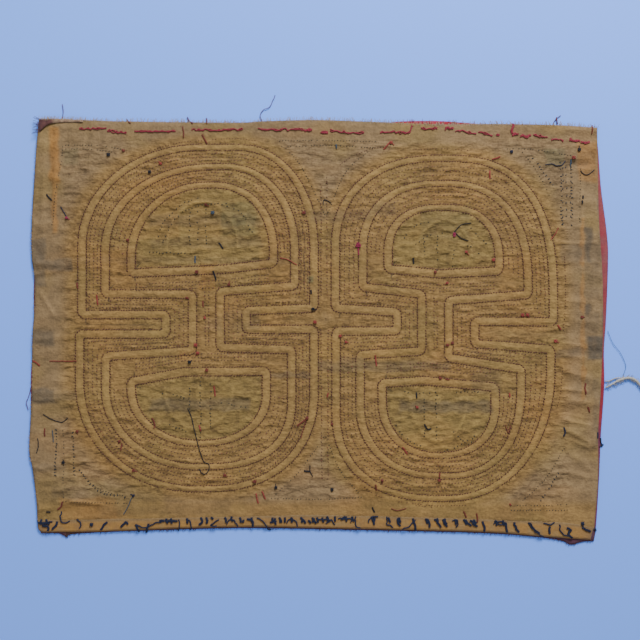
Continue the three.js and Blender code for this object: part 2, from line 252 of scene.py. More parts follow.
def backing_finish():
    f = Finish("ochre_cotton", roughness=0.9, sheen=0.06)
    line, along = f.reading("band_line"), f.reading("band_along")
    cloud, fine, grain, threads = f.noise(34, 3.0), f.noise(4.5, 3.0), f.noise(1.7, 2.0), weave(f, 1.3)
    on_band, off_band = f.ramp(line, *BAND_OUT, 1.0, 0.0), f.ramp(line, *FIELD_IN)
    near_band = f.ramp(line, *GATHERS_OUT, 1.0, 0.0)
    groove = f.ramp(line, *GROOVE_IN) * f.ramp(line, *GROOVE_OUT, 1.0, 0.0)
    beat = along * (2 * math.pi / STITCH_PITCH) + f.noise(1.6, 1.0) * 3.0
    pull = f.node("ShaderNodeMath", {"operation": "SINE"}, {0: beat})
    pull_reach = f.ramp(line, *PULL_IN) * f.ramp(line, *PULL_OUT, 1.0, 0.0)
    gathers = puckers(f, along, line, 3.4, 9.0)
    ticks = puckers(f, f.reading("row_along"), f.reading("row_line"), 1.5, 2.0)
    wrinkles, creases = f.noise(4.8, 2.0, (0.45, 1.0, 1.0)), f.noise(8.0, 2.0, (0.4, 1.0, 1.0))
    everywhere = f.reading("busy") * (WRINKLED + MORE_WRINKLED * off_band)
    colour = f.blend(OCHRE_MARGIN, OCHRE_STRIP, f.reading("golden"))
    for other, share in (
        (OCHRE_INNER, f.reading("inner")),
        (OCHRE_BAND, on_band),
        (OCHRE_INNER, f.ramp(f.noise(50, 2.0), 0.48, 0.64, 0.0, 0.55)),
        (WARM_ORANGE, f.ramp(f.noise(42, 2.0, (0.6, 1.3, 1.0)), 0.50, 0.66, 0.0, 0.16)),
        (WARM_ORANGE, f.reading("warm")),
        # Grey: real stains, and painted shade along the margins' folds
        (STAIN_AND_FOLD_SHADE_GREY, f.reading("stain")),
        # Darker grey-green patches at listed places
        (GREY_GREEN_DARK, f.reading("green")),
        # Painted shade: brown in the grooves beside the band stitches, in the gathers, wrinkles and creases, and in the
        # puckers across the rows
        (PAINTED_SHADE_BROWN, groove * (SHADES["groove"] + SHADES["pull"] * pull)),
        (PAINTED_SHADE_BROWN, off_band * near_band * valley(f, gathers, 0.5, 0.06, SHADES["gathers"])),
        (PAINTED_SHADE_BROWN, everywhere * valley(f, wrinkles, 0.5, 0.06, SHADES["wrinkles"])),
        (PAINTED_SHADE_BROWN, everywhere * valley(f, creases, 0.46, 0.022, SHADES["creases"])),
        (PAINTED_SHADE_BROWN, off_band * f.ramp(ticks, 0.5, 0.75, 0.0, SHADES["ticks"])),
    ):
        colour = f.blend(colour, other, share)
    # The tone paints light on the raised places of the relief and shade in its hollows
    parts = {"cloud": cloud, "fine": fine, "grain": grain, "threads": threads,
             "faded": f.reading("faded"), "ridge": f.reading("ridge")}
    tone = sum((TONES[name] * part for name, part in parts.items()), TONE_BASE)
    height = BUMPS["pull"] * pull * pull_reach + BUMPS["threads"] * threads + BUMPS["grain"] * grain
    height = height + BUMPS["fine"] * fine + BUMPS["gathers"] * off_band * near_band * (gathers - 0.5)
    folds = BUMPS["wrinkles"] * (wrinkles - 0.5) + BUMPS["creases"] * (creases - 0.5)
    return f.finish(f.toned(colour, tone), height + everywhere * folds, BUMP_DEPTH, 0.82 + 0.12 * fine)


COTTON_BUMP = 0.25


def plain_cotton(name, colour, shade, others, size=7.0):
    """Woven cotton of one dye with an uneven tone, and other colours where the mesh's readings say so."""
    f = Finish(name, roughness=0.88, sheen=0.08)
    cloud, threads, fine = f.noise(size, 3.0), weave(f), f.noise(1.6, 2.0)
    mixed = f.blend(colour, shade, f.ramp(cloud, 0.3, 0.75))
    for reading, other in others.items():
        mixed = f.blend(mixed, other, f.reading(reading))
    tone = 0.6 + 0.3 * threads + 0.45 * fine
    return f.finish(f.toned(mixed, tone), threads + fine, COTTON_BUMP, 0.8 + 0.15 * fine)


THREAD_DARK, THREAD_BUMP = 0.55, 0.12


def thread_finish(name, colour):
    """Spun thread: a colour with darker hollows between its twists."""
    f = Finish(name, roughness=0.75, sheen=0.1)
    twist = f.noise(0.5, 1.0)
    shade = tuple(c * THREAD_DARK for c in colour)
    return f.finish(f.blend(colour, shade, f.ramp(twist, 0.35, 0.7)), twist, THREAD_BUMP, 0.65 + 0.2 * twist)


THREAD_COLOURS = {
    "rust": (0.100, 0.030, 0.012),
    "umber": (0.135, 0.066, 0.028),
    "brick": (0.210, 0.060, 0.024),
    "red": (0.290, 0.045, 0.024),
    "scarlet": (0.280, 0.024, 0.032),
    "slate": (0.018, 0.026, 0.026),
    "crimson": (0.175, 0.034, 0.014),
    "magenta": (0.270, 0.018, 0.045),
    "plum": (0.130, 0.055, 0.060),
    "navy": (0.010, 0.014, 0.032),
    "black": (0.009, 0.008, 0.008),
    "blue": (0.044, 0.066, 0.078),
    "olive": (0.045, 0.038, 0.018),
    "cream": (0.470, 0.425, 0.305),
    "straw": (0.420, 0.300, 0.150),
}
threads = {name: thread_finish(f"{name}_thread", colour) for name, colour in THREAD_COLOURS.items()}

# ---------------------------------------------------------------- lines on the cloth


def spaced(line, step, closed=False):
    """A line's points moved to an even spacing of about step."""
    line = np.asarray(line, float)
    if closed:
        line = np.vstack([line, line[:1]])
    run = np.concatenate([[0.0], np.cumsum(np.linalg.norm(np.diff(line[:, :2], axis=0), axis=1))])
    count = max(2, int(round(run[-1] / step)) + 1)
    stops = np.linspace(0, run[-1], count)
    found = np.stack([np.interp(stops, run, line[:, k]) for k in range(line.shape[1])], 1)
    return found[:-1] if closed else found


def spline(points, step):
    """A smooth line through its points, evenly spaced."""
    p = np.asarray(points, float)
    if len(p) < 3:
        return spaced(p, step)
    ends = np.vstack([2 * p[0] - p[1], p, 2 * p[-1] - p[-2]])
    share = np.linspace(0, 1, 12, endpoint=False)[:, None]
    parts = []
    for a, b, c, d in zip(ends, ends[1:], ends[2:], ends[3:]):
        bend = 2 * b + (c - a) * share + (2 * a - 5 * b + 4 * c - d) * share**2 + (3 * b - a - 3 * c + d) * share**3
        parts.append(0.5 * bend)
    return spaced(np.vstack([*parts, p[-1:]]), step)


def normals_of(line, closed=False):
    """The direction to the left of a line at each of its points."""
    line = line[:, :2]
    if closed:
        way = np.roll(line, -1, 0) - np.roll(line, 1, 0)
    else:
        way = np.gradient(line, axis=0)
    way /= np.maximum(np.linalg.norm(way, axis=1), 1e-9)[:, None]
    return np.stack([-way[:, 1], way[:, 0]], 1)


def breadths(line):
    """The share of its width that a band keeps at each point of its line: the line's third column, or all."""
    return line[:, 2] if line.shape[1] > 2 else np.ones(len(line))


def beside(line, distance):
    """A closed line beside another one, without the parts where it would cut a corner."""
    line = spaced(line, 0.8, True)
    moved = line[:, :2] + normals_of(line, True) * (distance * breadths(line))[:, None]
    tree = tree_of(line)
    far = np.array([tree.find((x, y, 0))[2] for x, y in moved])
    return moved[far > abs(distance) * breadths(line) - 0.15]


def tree_of(points):
    tree = kdtree.KDTree(len(points))
    for i, p in enumerate(points):
        tree.insert((p[0], p[1], 0.0), i)
    tree.balance()
    return tree


def inside(points, outline):
    """Whether each point is inside a closed outline."""
    x, y = points[:, 0], points[:, 1]
    found = np.zeros(len(points), bool)
    for (ax, ay), (bx, by) in zip(outline, np.roll(outline, -1, 0)):
        if ay != by:
            found ^= ((ay > y) != (by > y)) & (x < (bx - ax) * (y - ay) / (by - ay) + ax)
    return found


def smooth(t):
    t = np.clip(t, 0, 1)
    return t * t * (3 - 2 * t)


def past(value, limit, fade):
    """A share that comes in, from 0 to 1, where a value goes past a limit."""
    return smooth((value - limit) / fade)


def short_of(value, limit, fade):
    """A share that goes out, from 1 to 0, where a value comes up to a limit."""
    return smooth((limit - value) / fade)


def soft_noise(u, v, seed):
    """Smooth noise from -1 to 1 with one bump in each unit square."""
    low_u, low_v = np.floor(u).astype(np.int64), np.floor(v).astype(np.int64)
    share_u, share_v = smooth(u - low_u), smooth(v - low_v)

    def corner(a, b):
        h = (a * 374761393 + b * 668265263 + seed * 974634777) & 0xFFFFFFFF
        h = ((h ^ (h >> 13)) * 1274126177) & 0xFFFFFFFF
        return ((h ^ (h >> 16)) & 0xFFFF) / 32767.5 - 1

    near = corner(low_u, low_v) * (1 - share_u) + corner(low_u + 1, low_v) * share_u
    far = corner(low_u, low_v + 1) * (1 - share_u) + corner(low_u + 1, low_v + 1) * share_u
    return near * (1 - share_v) + far * share_v


# ---------------------------------------------------------------- the pattern

# Two nested figures. A figure's band is two domes, above and below, that meet at its waist between two slots.
DOMES = {
    # figure, level, lobe: left, right, crest from and to, peak, spring at the left and right, bulge likewise
    ("west", 1, "upper"): (-181, -3.8, -91, -62, 141, 66, 63, 2, 2.12),
    ("west", 1, "lower"): (-182.8, -3.8, -93, -87, -119.7, -37, -44, 2.1, 2.3),
    ("west", 2, "upper"): (-163.3, -18.6, -79, -73, 126.4, 62, 62, 2.1, 2.15),
    ("west", 2, "lower"): (-162.9, -20.9, -93, -88, -102.9, -44, -52, 2, 2.45),
    ("west", 3, "upper"): (-143.4, -34.7, -86, -80, 112.3, 58, 61, 2, 2.15),
    ("west", 3, "lower"): (-143.4, -40.2, -93, -89, -84.9, -44, -48, 2, 2.1),
    ("east", 1, "upper"): (12.6, 179, 90, 97, 132.7, 66, 24, 2.2, 2.6),
    ("east", 1, "lower"): (13, 177, 92, 98, -127, -60, -29, 2.35, 2.1),
    ("east", 2, "upper"): (33.4, 159.7, 90, 95, 113.5, 63, 36, 2.2, 2.45),
    ("east", 2, "lower"): (31.4, 154.4, 91, 95, -109.9, -56, -37, 2.15, 2.5),
    ("east", 3, "upper"): (52.8, 137.6, 93, 98, 95.2, 60, 55, 2.4, 2.3),
    ("east", 3, "lower"): (48.2, 134.6, 89, 93, -94.1, -52, -56, 2.1, 2.2),
}
SLOTS = {
    # figure, level, side: end, then the upper side and its end, then the lower side and its end
    ("west", 1, "left"): (-116.9, 13.4, 13.4, -1.5, -1.5),
    ("west", 1, "right"): (-55.6, 18.4, 16.4, 2.1, 2.1),
    ("west", 2, "left"): (-96.6, 29.3, 28.9, -18.4, -14.2),
    ("west", 2, "right"): (-75.5, 35.2, 31, -13.4, -11.7),
    ("east", 1, "left"): (59.7, 18.4, 15.3, 0.8, 0.8),
    ("east", 1, "right"): (118.8, 7.7, 8.4, -13, -8.8),
    ("east", 2, "left"): (78.4, 34.4, 29.1, -17.2, -14.5),
    ("east", 2, "right"): (99.1, 28.7, 24.1, -28.3, -19.7),
}
FLATS = {
    # figure, lobe: the height of the flat side at its left, its middle and its right, and where its middle is
    ("west", "upper"): (45.1, 47.8, 52.4, -75),
    ("west", "lower"): (-37.7, -30.4, -29.8, -103),
    ("east", "upper"): (48.2, 44.5, 46.7, 92),
    ("east", "lower"): (-39, -37, -42.1, 80),
}
QUARTER_STEPS = 40
# Arch and bar inside each innermost dome, as shares of the room inside it
MOTIF = {"arch_reach": 0.5, "arch_foot": 0.25, "arch_top": 0.8, "bar_foot": 0.16, "bar_top": 0.52}


def quarter(side, spring, crest, peak, bulge):
    """A quarter oval from a dome's side to its crest, and the band's breadth along it."""
    angle = np.linspace(0, math.pi / 2, QUARTER_STEPS + 1)
    across, up = np.cos(angle).clip(0) ** (2 / bulge), np.sin(angle) ** (2 / bulge)
    breadth = 1 - (1 - CREST_WIDTH) * np.sin(angle) ** 2
    return np.stack([crest + (side - crest) * across, spring + (peak - spring) * up, breadth], 1)


def dome(figure, level, lobe):
    left, right, crest_l, crest_r, peak, spring_l, spring_r, bulge_l, bulge_r = DOMES[figure, level, lobe]
    first = quarter(left, spring_l, crest_l, peak, bulge_l)
    second = quarter(right, spring_r, crest_r, peak, bulge_r)
    return np.vstack([first, second[::-1]])


def with_round_corners(parts):
    """A closed loop from parts that are either a corner, a pair of numbers, or a line of points."""
    points, sharp = [], []
    for part in parts:
        corner = np.ndim(part) == 1
        part = np.array([[*part, 1.0]]) if corner else np.asarray(part, float)
        points += list(part)
        sharp += [corner] * len(part)
    made = []
    for i, p in enumerate(points):
        if not sharp[i]:
            made.append(p)
            continue
        before, after = points[i - 1], points[(i + 1) % len(points)]
        start = p + (before - p) * min(CORNER_CUT / np.linalg.norm(before[:2] - p[:2]), 0.4)
        end = p + (after - p) * min(CORNER_CUT / np.linalg.norm(after[:2] - p[:2]), 0.4)
        for t in np.linspace(0, 1, 5):
            made.append((1 - t) ** 2 * start + 2 * t * (1 - t) * p + t * t * end)
    return np.array(made)


def waisted(figure, level):
    """The middle line of an outer or middle band."""
    upper, lower = DOMES[figure, level, "upper"], DOMES[figure, level, "lower"]
    l_end, l_up, l_up_end, l_low, l_low_end = SLOTS[figure, level, "left"]
    r_end, r_up, r_up_end, r_low, r_low_end = SLOTS[figure, level, "right"]
    return with_round_corners(
        [
            (upper[0], l_up), dome(figure, level, "upper"), (upper[1], r_up), (r_end, r_up_end),
            (r_end, r_low_end), (lower[1], r_low), dome(figure, level, "lower")[::-1], (lower[0], l_low),
            (l_end, l_low_end), (l_end, l_up_end),
        ]
    )


def closed_dome(figure, lobe):
    """The middle line of an innermost band."""
    d = DOMES[figure, 3, lobe]
    left, middle, right, middle_x = FLATS[figure, lobe]
    return with_round_corners(
        [(d[0], left), dome(figure, 3, lobe), (d[1], right), [(middle_x + 0.1, middle, 1), (middle_x, middle, 1)]]
    )


def flat_line(figure, lobe, away):
    """A line beside the flat side of an innermost dome, on its outer side."""
    d = DOMES[figure, 3, lobe]
    left, middle, right, middle_x = FLATS[figure, lobe]
    shift = -away if lobe == "upper" else away
    return np.array([(d[0] + 4, left + shift), (middle_x, middle + shift), (d[1] - 4, right + shift)])


FIGURES = ("west", "east")
LOBES = ("upper", "lower")
outer_bands = {f: waisted(f, 1) for f in FIGURES}
middle_bands = {f: waisted(f, 2) for f in FIGURES}
inner_bands = {(f, lobe): closed_dome(f, lobe) for f in FIGURES for lobe in LOBES}
band_lines = [spaced(b, 0.7, True) for b in (*outer_bands.values(), *middle_bands.values(), *inner_bands.values())]


def between_bands(first, second, share):
    """A line that runs part of the way from one band to the next."""
    return (first * (1 - share) + second * share)[:, :2]


# Rows of small stitches along each strip: the line, and whether it is closed
ROW_SHARES = (0.33, 0.5, 0.67)
FLAT_ROWS = (8.5, 11.0, 13.5)
UPRIGHT_ROWS = [(205, 292, 206, 345), (209, 292, 209, 345), (434, 298, 434, 347), (437, 298, 437, 347),
                (321, 178, 321, 295), (327, 178, 327, 295), (321, 330, 322, 478), (328, 330, 328, 478)]
strip_rows = []
for name in FIGURES:
    for share in ROW_SHARES:
        strip_rows.append((between_bands(outer_bands[name], middle_bands[name], share), True))
        for lobe in LOBES:
            strip_rows.append((between_bands(dome(name, 2, lobe), dome(name, 3, lobe), share), False))
    strip_rows += [(flat_line(name, lobe, away), False) for lobe in LOBES for away in FLAT_ROWS]
strip_rows += [(at(line), False) for line in UPRIGHT_ROWS]

# Rows in the fillers between the figures and the margins, and loose rows outside the figures
FILLER_ROWS = [
    (63, 145, 100, 146, 124, 150), (66, 149, 95, 150, 118, 153), (63, 147, 61, 165, 56, 195, 53, 225),
    (280, 141, 330, 141, 375, 142), (282, 147, 330, 146, 373, 148), (286, 149, 302, 168, 325, 215),
    (372, 149, 346, 172, 327, 215), (507, 149, 535, 150, 570, 156), (522, 153, 534, 168, 552, 200),
    (580, 164, 579, 222), (57, 430, 57, 475), (64, 430, 64, 500), (74, 432, 74, 474), (64, 501, 95, 502, 130, 503),
    (80, 470, 98, 488, 126, 496), (272, 498, 318, 499, 361, 497), (276, 494, 300, 470, 324, 437),
    (358, 492, 340, 470, 326, 437), (511, 505, 540, 505, 566, 504), (511, 510, 567, 510),
    (523, 500, 545, 478, 564, 448),
]
LADDER_ROWS = [
    (560, 163, 561, 225), (571, 163, 571, 225), (533, 158, 552, 185), (57, 430, 56, 475), (73, 432, 75, 474),
    (80, 470, 98, 490, 125, 497), (541, 500, 560, 470), *((562, y, 570, y) for y in range(168, 226, 7)),
]
LOOSE_ROWS = [
    (150, 151, 175, 144, 200, 141, 235, 139, 255, 141), (564, 257, 565, 297, 563, 330),
    (396, 501, 430, 505, 465, 505), (413, 150, 440, 149, 470, 151), (562, 368, 560, 393, 557, 405),
    (340, 165, 352, 157, 372, 149, 386, 147), (416, 505, 431, 507), (350, 470, 368, 490, 384, 498),
]
MOTIF_ROWS = [
    (163, 243, 170, 228, 182, 213, 200, 206, 226, 204), (158, 236, 166, 220, 180, 206, 198, 198),
    (228, 206, 242, 214, 252, 232), (190, 206, 190, 244), (206, 206, 206, 244), (198, 212, 198, 240),
    (150, 252, 185, 254), (413, 247, 424, 238, 440, 234, 456, 236), (465, 243, 478, 254), (424, 238, 424, 258),
    (437, 236, 437, 270), (453, 247, 453, 270), (404, 238, 412, 228, 428, 222), (470, 228, 486, 244),
    (160, 392, 185, 397), (190, 388, 190, 412), (201, 378, 201, 440), (211, 380, 211, 430), (222, 402, 245, 408),
    (170, 424, 190, 432), (405, 392, 430, 393), (457, 392, 478, 392), (424, 392, 424, 440), (436, 392, 436, 438),
    (450, 430, 468, 444, 474, 436), (396, 425, 404, 436, 420, 446), (470, 438, 455, 448, 440, 452),
]
ROW_STEP = 0.8
filler_lines, ladder_lines, loose_lines, motif_rows = (
    [(spline(at(row), ROW_STEP), False) for row in rows] for rows in (FILLER_ROWS, LADDER_ROWS, LOOSE_ROWS, MOTIF_ROWS)
)


def motif_lines(figure, lobe):
    """The arch and the bar inside an innermost dome."""
    left, right, _, _, peak, *_ = DOMES[figure, 3, lobe]
    flat = FLATS[figure, lobe][1]
    middle, room = (left + right) / 2, peak - flat
    foot = flat + room * MOTIF["arch_foot"]
    rise = room * (MOTIF["arch_top"] - MOTIF["arch_foot"])
    reach = (right - left) / 2 * MOTIF["arch_reach"]
    angle = np.linspace(0, math.pi, 31)
    arch = np.stack([middle - reach * np.cos(angle), foot + rise * np.sin(angle)], 1)
    bar = np.array([(middle, flat + room * MOTIF["bar_foot"]), (middle, flat + room * MOTIF["bar_top"])])
    return arch, spaced(bar, 1.0)


motifs = {(f, lobe): motif_lines(f, lobe) for f in FIGURES for lobe in LOBES}

# ---------------------------------------------------------------- outlines

BACKING_EDGES = {
    "bottom": [(-215, -145.6), (-198, -144.4), (-106, -143), (-53, -141.8), (8, -140.8), (123, -144),
               (184, -146.4), (210.2, -150.2)],
    "right": [(210.2, -150.2), (213.2, -113), (213.4, -75), (215.4, -42), (217, 9), (216.4, 47), (214, 84),
              (213.3, 109), (212.5, 156)],
    "top": [(212.5, 156), (184, 158), (135, 159), (93, 158.6), (41, 160.6), (-3, 162), (-43, 161), (-66, 160),
            (-152, 161), (-180, 162), (-214, 162.6)],
    "left": [(-214, 162.6), (-216, 140), (-218, 109), (-219.6, 80), (-219.4, 57), (-217.4, 41), (-217.4, 18),
             (-219, -6), (-219.6, -51), (-221.4, -89), (-219, -104), (-216, -127), (-215, -145.6)],
}
FACE_EDGES = {
    "bottom": [(-213, -154.2), (-199, -154.4), (-192, -157.6), (-185, -154.4), (-106, -151.2), (-53, -150.1),
               (8, -151.2), (123, -153.9), (170, -157.4), (186, -160), (193, -163), (201, -160.8), (210.4, -160)],
    "right": [(210.4, -160), (212, -150), (214.4, -113), (215.8, -80), (218.4, -42), (218.2, -15), (219.8, 9),
              (221.4, 54), (220.4, 76), (216, 110), (213.8, 139), (212, 155)],
    "top": [(212, 155), (184, 157), (135, 158.4), (112, 160.2), (89, 161.6), (62, 161.2), (41, 159.6),
            (-43, 160), (-152, 160), (-212, 161.6)],
    "left": [(-212, 161.6), (-215, 140), (-217, 109), (-218, 80), (-217.8, 57), (-218.4, 30), (-218.4, -6),
             (-220.4, -30), (-220.6, -51), (-220.6, -89), (-218, -104), (-215.6, -127), (-213, -154.2)],
}
BINDING_EDGES = {
    "bottom": [(-212, -153.2), (-166, -152.4), (-106, -150.1), (-53, -149), (8, -150), (123, -152.8),
               (170, -156.3), (207.6, -159)],
    "right": [(207.6, -159), (210, -149.2)],
    "top": [(x, y + 1.2) for x, y in BACKING_EDGES["bottom"][::-1]],
    "left": [(-215, -144.4), (-214.6, -150.5), (-212, -153.2)],
}
FLAP_EDGES = {
    "bottom": [(-213.6, 152.8), (-204, 159.2), (-180, 160.2)],
    "right": [(-180, 160.2), (-180.4, 161.8)],
    "top": [(-180.4, 161.8), (-198, 162.6), (-213.2, 162.4)],
    "left": [(-213.2, 162.4), (-213.6, 152.8)],
}


def patch(edges, across, up):
    """A grid of points that fills an outline, given the number of steps across and up."""
    def even(name, count):
        fine = spline(edges[name], 0.5)
        run = np.linspace(0, len(fine) - 1, count + 1)
        return np.stack([np.interp(run, np.arange(len(fine)), fine[:, k]) for k in (0, 1)], 1)

    bottom, top = even("bottom", across), even("top", across)[::-1]
    right, left = even("right", up), even("left", up)[::-1]
    u, v = np.linspace(0, 1, across + 1)[None, :, None], np.linspace(0, 1, up + 1)[:, None, None]
    sides = (1 - u) * left[:, None] + u * right[:, None]
    ends = (1 - v) * bottom[None] + v * top[None]
    corners = (1 - u) * (1 - v) * bottom[0] + u * (1 - v) * bottom[-1] + (1 - u) * v * top[0] + u * v * top[-1]
    return sides + ends - corners


def rim_of(edges):
    return np.vstack([spline(edges[name], 2.0)[:-1] for name in ("bottom", "right", "top", "left")])


backing_rim, face_rim = rim_of(BACKING_EDGES), rim_of(FACE_EDGES)
binding_rim, flap_rim = rim_of(BINDING_EDGES), rim_of(FLAP_EDGES)

# ---------------------------------------------------------------- the backing's shape

# Folds pressed into the cloth: both ends in the photograph's pixels, width and height in millimetres
FOLDS = [
    (34, 262, 70, 266, 5.0, 0.5), (34, 274, 66, 270, 3.0, 0.35), (40, 290, 58, 320, 3.0, 0.45),
    (32, 338, 72, 337, 5.5, 0.4), (31, 393, 72, 392, 6.5, 0.6), (32, 400, 66, 398, 3.0, 0.4),
    (38, 467, 62, 465, 5.0, 0.45), (34, 466, 66, 478, 3.0, 0.35), (38, 490, 66, 489, 4.0, 0.35),
    (38, 508, 58, 507, 3.5, 0.35), (70, 500, 105, 504, 2.2, 0.5), (560, 419, 592, 425, 2.6, 0.5),
    (563, 398, 592, 404, 5.0, 0.35), (561, 354, 585, 358, 4.0, 0.4), (563, 437, 592, 449, 2.6, 0.35),
    (566, 428, 594, 446, 5.5, 0.5), (572, 452, 590, 470, 5.0, 0.4), (564, 372, 592, 378, 5.5, 0.4),
    (560, 318, 596, 322, 5.0, 0.35), (566, 206, 598, 200, 5.0, 0.3), (550, 243, 598, 243, 1.6, 0.3),
    (560, 262, 600, 262, 4.5, 0.3), (561, 388, 590, 392, 3.0, 0.3), (560, 343, 584, 346, 2.4, 0.4),
    (563, 300, 600, 303, 6.0, 0.25), (563, 470, 590, 478, 4.0, 0.3), (57, 132, 55, 236, 2.5, 0.25),
    (582, 168, 582, 330, 2.5, 0.2), (46, 140, 44, 250, 6.0, 0.3), (592, 230, 594, 330, 5.0, 0.25),
]

# How much higher the folds stand than the table gives, as read off their shadows
FOLD_RISE = 2.4
# Waves in the cloth: height, length along its first reading and across it, and seed
WAVES = {
    "crown": (0.10, 4, 2, 4), "pulled": (0.42, 4.8, 9, 3), "drawn": (0.08, 3.1, 6, 5), "run_out": (0.55, 4.2, 14, 17),
    "room_long": (0.60, 8, 2.9, 7), "room_short": (0.36, 3.6, 3.2, 8), "strip": (0.28, 7, 2.9, 14),
    "field_long": (0.48, 12, 2.9, 11), "field_short": (0.18, 5, 4, 12), "sides": (0.90, 24, 7.5, 15),
    "margins": (0.26, 15, 12, 16), "panel": (0.10, 60, 45, 13),
}
# The crown of a band, the field's rise beside it and the soft roll there
CROWN_POWER, FIELD_RISE, ROLL_HEIGHT, ROLL_WIDTH = 2.4, 2.3, 0.14, 5.0
# The arch and the bar in each room: height and half width
ARCH_HEIGHT, ARCH_HALF, BAR_HEIGHT, BAR_HALF = 1.05, 1.4, 0.45, 2.6
NEAR_ARCH, STILL_BY_ARCH = 2.6, 0.7


def wave(name, first, second):
    height, long, wide, seed = WAVES[name]
    return height * soft_noise(first / long, second / wide, seed)


LINE_STEP, LINE_GAP = 0.7, 30.0


def nearest_of(points, lines):
    """For each point: the distance to the nearest of some lines, and how far along it, all lines end to end."""
    every, run, ways, start = [], [], [], 0.0
    for line, closed in lines:
        line = spaced(line, LINE_STEP, closed)
        step = float(np.linalg.norm(line[1, :2] - line[0, :2]))
        every.append(np.column_stack([line[:, :2], breadths(line)]))
        run.append(start + np.arange(len(line)) * step)
        ways.append(normals_of(line, closed))
        start = run[-1][-1] + LINE_GAP
    every, run, ways = np.vstack(every), np.concatenate(run), np.vstack(ways)
    tree = tree_of(every)
    index = np.array([tree.find((x, y, 0.0))[1] for x, y in points])
    away = points - every[index, :2]
    across = np.abs((away * ways[index]).sum(1)) / every[index, 2]
    ahead = away[:, 0] * ways[index][:, 1] - away[:, 1] * ways[index][:, 0]
    beyond = np.maximum(np.abs(ahead) - 0.6, 0)
    return np.hypot(across, beyond), run[index] + ahead


all_bands = [(line, True) for line in band_lines]
all_rows = [*strip_rows, *filler_lines]


def cloth_facts(points):
    """What the pattern does at each point of the backing."""
    x, y = points[:, 0], points[:, 1]
    band, band_along = nearest_of(points, all_bands)
    row, row_along = nearest_of(points, all_rows)
    arch, bar = (nearest_of(points, [(m[k], False) for m in motifs.values()])[0] for k in (0, 1))
    room = sum(inside(points, line[:, :2]) for line in inner_bands.values())
    busy = past(x, -198, 6) * short_of(x, 194, 6) * past(y, -130, 6) * short_of(y, 148, 5)
    golden = np.maximum(short_of(band, 20, 14), 0.85 * short_of(y, -125, 10))
    for line in outer_bands.values():
        golden = np.maximum(golden, inside(points, line[:, :2]))
    return {
        "band_line": band, "band_along": band_along, "row_line": row, "row_along": row_along, "arch": arch, "bar": bar,
        "inner": room * past(band, 3.2, 1.5), "busy": 0.2 + 0.8 * busy, "golden": golden,
        "faded": short_of(y, 60, 150),
    }


def cloth_height(points, facts=None):
    """The backing's upper face above its underside, in millimetres."""
    facts = facts or cloth_facts(points)
    x, y = points[:, 0], points[:, 1]
    band, along, row, row_along = (facts[name] for name in ("band_line", "band_along", "row_line", "row_along"))
    inner, busy = facts["inner"], facts["busy"]
    share, beyond = np.clip(band / STITCH_LINE, 0, 1), band - STITCH_LINE
    crown = GROOVE_HEIGHT + (BAND_HEIGHT - GROOVE_HEIGHT) * (1 - share**CROWN_POWER)
    crown += (1 - share) * wave("crown", along, band)
    strip = past(band, STITCH_LINE, FIELD_RISE)
    roll = ROLL_HEIGHT * np.sin(math.pi * np.clip(beyond / ROLL_WIDTH, 0, 1))
    height = np.where(band < STITCH_LINE, crown, GROOVE_HEIGHT + (FIELD_HEIGHT - GROOVE_HEIGHT) * strip + roll)
    # puckers that run across each band's stitches, softer ones across the rows, and long ones out from the outer rows
    height += wave("pulled", along, band) * strip * short_of(band, 8.8, 3.5)
    height += wave("drawn", row_along, row) * short_of(row, 2.4, 1.8)
    height += wave("run_out", row_along, row) * past(band, 8, 3) * (1 - inner) * short_of(row, 12, 7)
    # wrinkles along the panel inside the innermost domes and the strips, and wide soft ones elsewhere
    still = 1 - STILL_BY_ARCH * np.exp(-(facts["arch"] / NEAR_ARCH) ** 4)
    height += inner * still * (wave("room_long", x, y) + wave("room_short", x, y))
    height += inner * ARCH_HEIGHT * np.exp(-(facts["arch"] / ARCH_HALF) ** 2)
    height += inner * BAR_HEIGHT * np.exp(-(facts["bar"] / BAR_HALF) ** 6)
    height += strip * (1 - inner) * short_of(band, 14, 4) * wave("strip", x, y)
    field = wave("field_long", x, y) + wave("field_short", x, y)
    edges = wave("sides", x, y) * past(np.abs(x), 160, 25) + wave("margins", x, y)
    height += past(band, 6, 4) * (1 - inner) * (busy * field + edges) + wave("panel", x, y)
    for *fold_ends, width, rise in FOLDS:
        a, b = at(fold_ends)
        length = np.linalg.norm(b - a)
        way, gap = (b - a) / length, points - a
        ahead, across = gap @ way, gap @ np.array([-way[1], way[0]])
        ends = past(ahead, -2, 6) * short_of(ahead, length + 2, 6)
        height += FOLD_RISE * rise * ends * np.exp(-(across / (width / 2)) ** 2) * past(band, 3.2, 2)
    settle = past(rim_distance(points, backing_rim), 0.2, EDGE_ROLL)
    return EDGE_HEIGHT + (height - EDGE_HEIGHT) * settle


def rim_distance(points, rim):
    rim = spaced(rim, 0.8, True)
    tree = tree_of(rim)
    return np.array([tree.find((x, y, 0.0))[2] for x, y in points])


def surface(points):
    """The height of whatever lies uppermost at each point: binding, flap, backing, face cloth or floor."""
    points = np.asarray(points, float).reshape(-1, 2)
    height = np.where(inside(points, face_rim), FACE_TOP, 0.0)
    on_backing = inside(points, backing_rim)
    if on_backing.any():
        height[on_backing] = BACKING_BASE + cloth_height(points[on_backing])
    for rim, base, height_of in ((binding_rim, BACKING_BASE, binding_height), (flap_rim, FLAP_BASE, flap_height)):
        on_piece = inside(points, rim)
        if on_piece.any():
            height[on_piece] = np.maximum(height[on_piece], base + height_of(points[on_piece])[0])
    return height


# ---------------------------------------------------------------- making pieces


def mesh_piece(name, points, faces, material, readings=None):
    """A mesh object from points in millimetres."""
    mesh = bpy.data.meshes.new(name)
    mesh.from_pydata((np.asarray(points, float) * MM).tolist(), [], [list(map(int, f)) for f in faces])
    for key, values in (readings or {}).items():
        mesh.attributes.new(key, "FLOAT", "POINT").data.foreach_set("value", np.asarray(values, np.float32))
    mesh.materials.append(material)
    mesh.update()
    mesh.shade_smooth()
    return set_out(name, mesh)


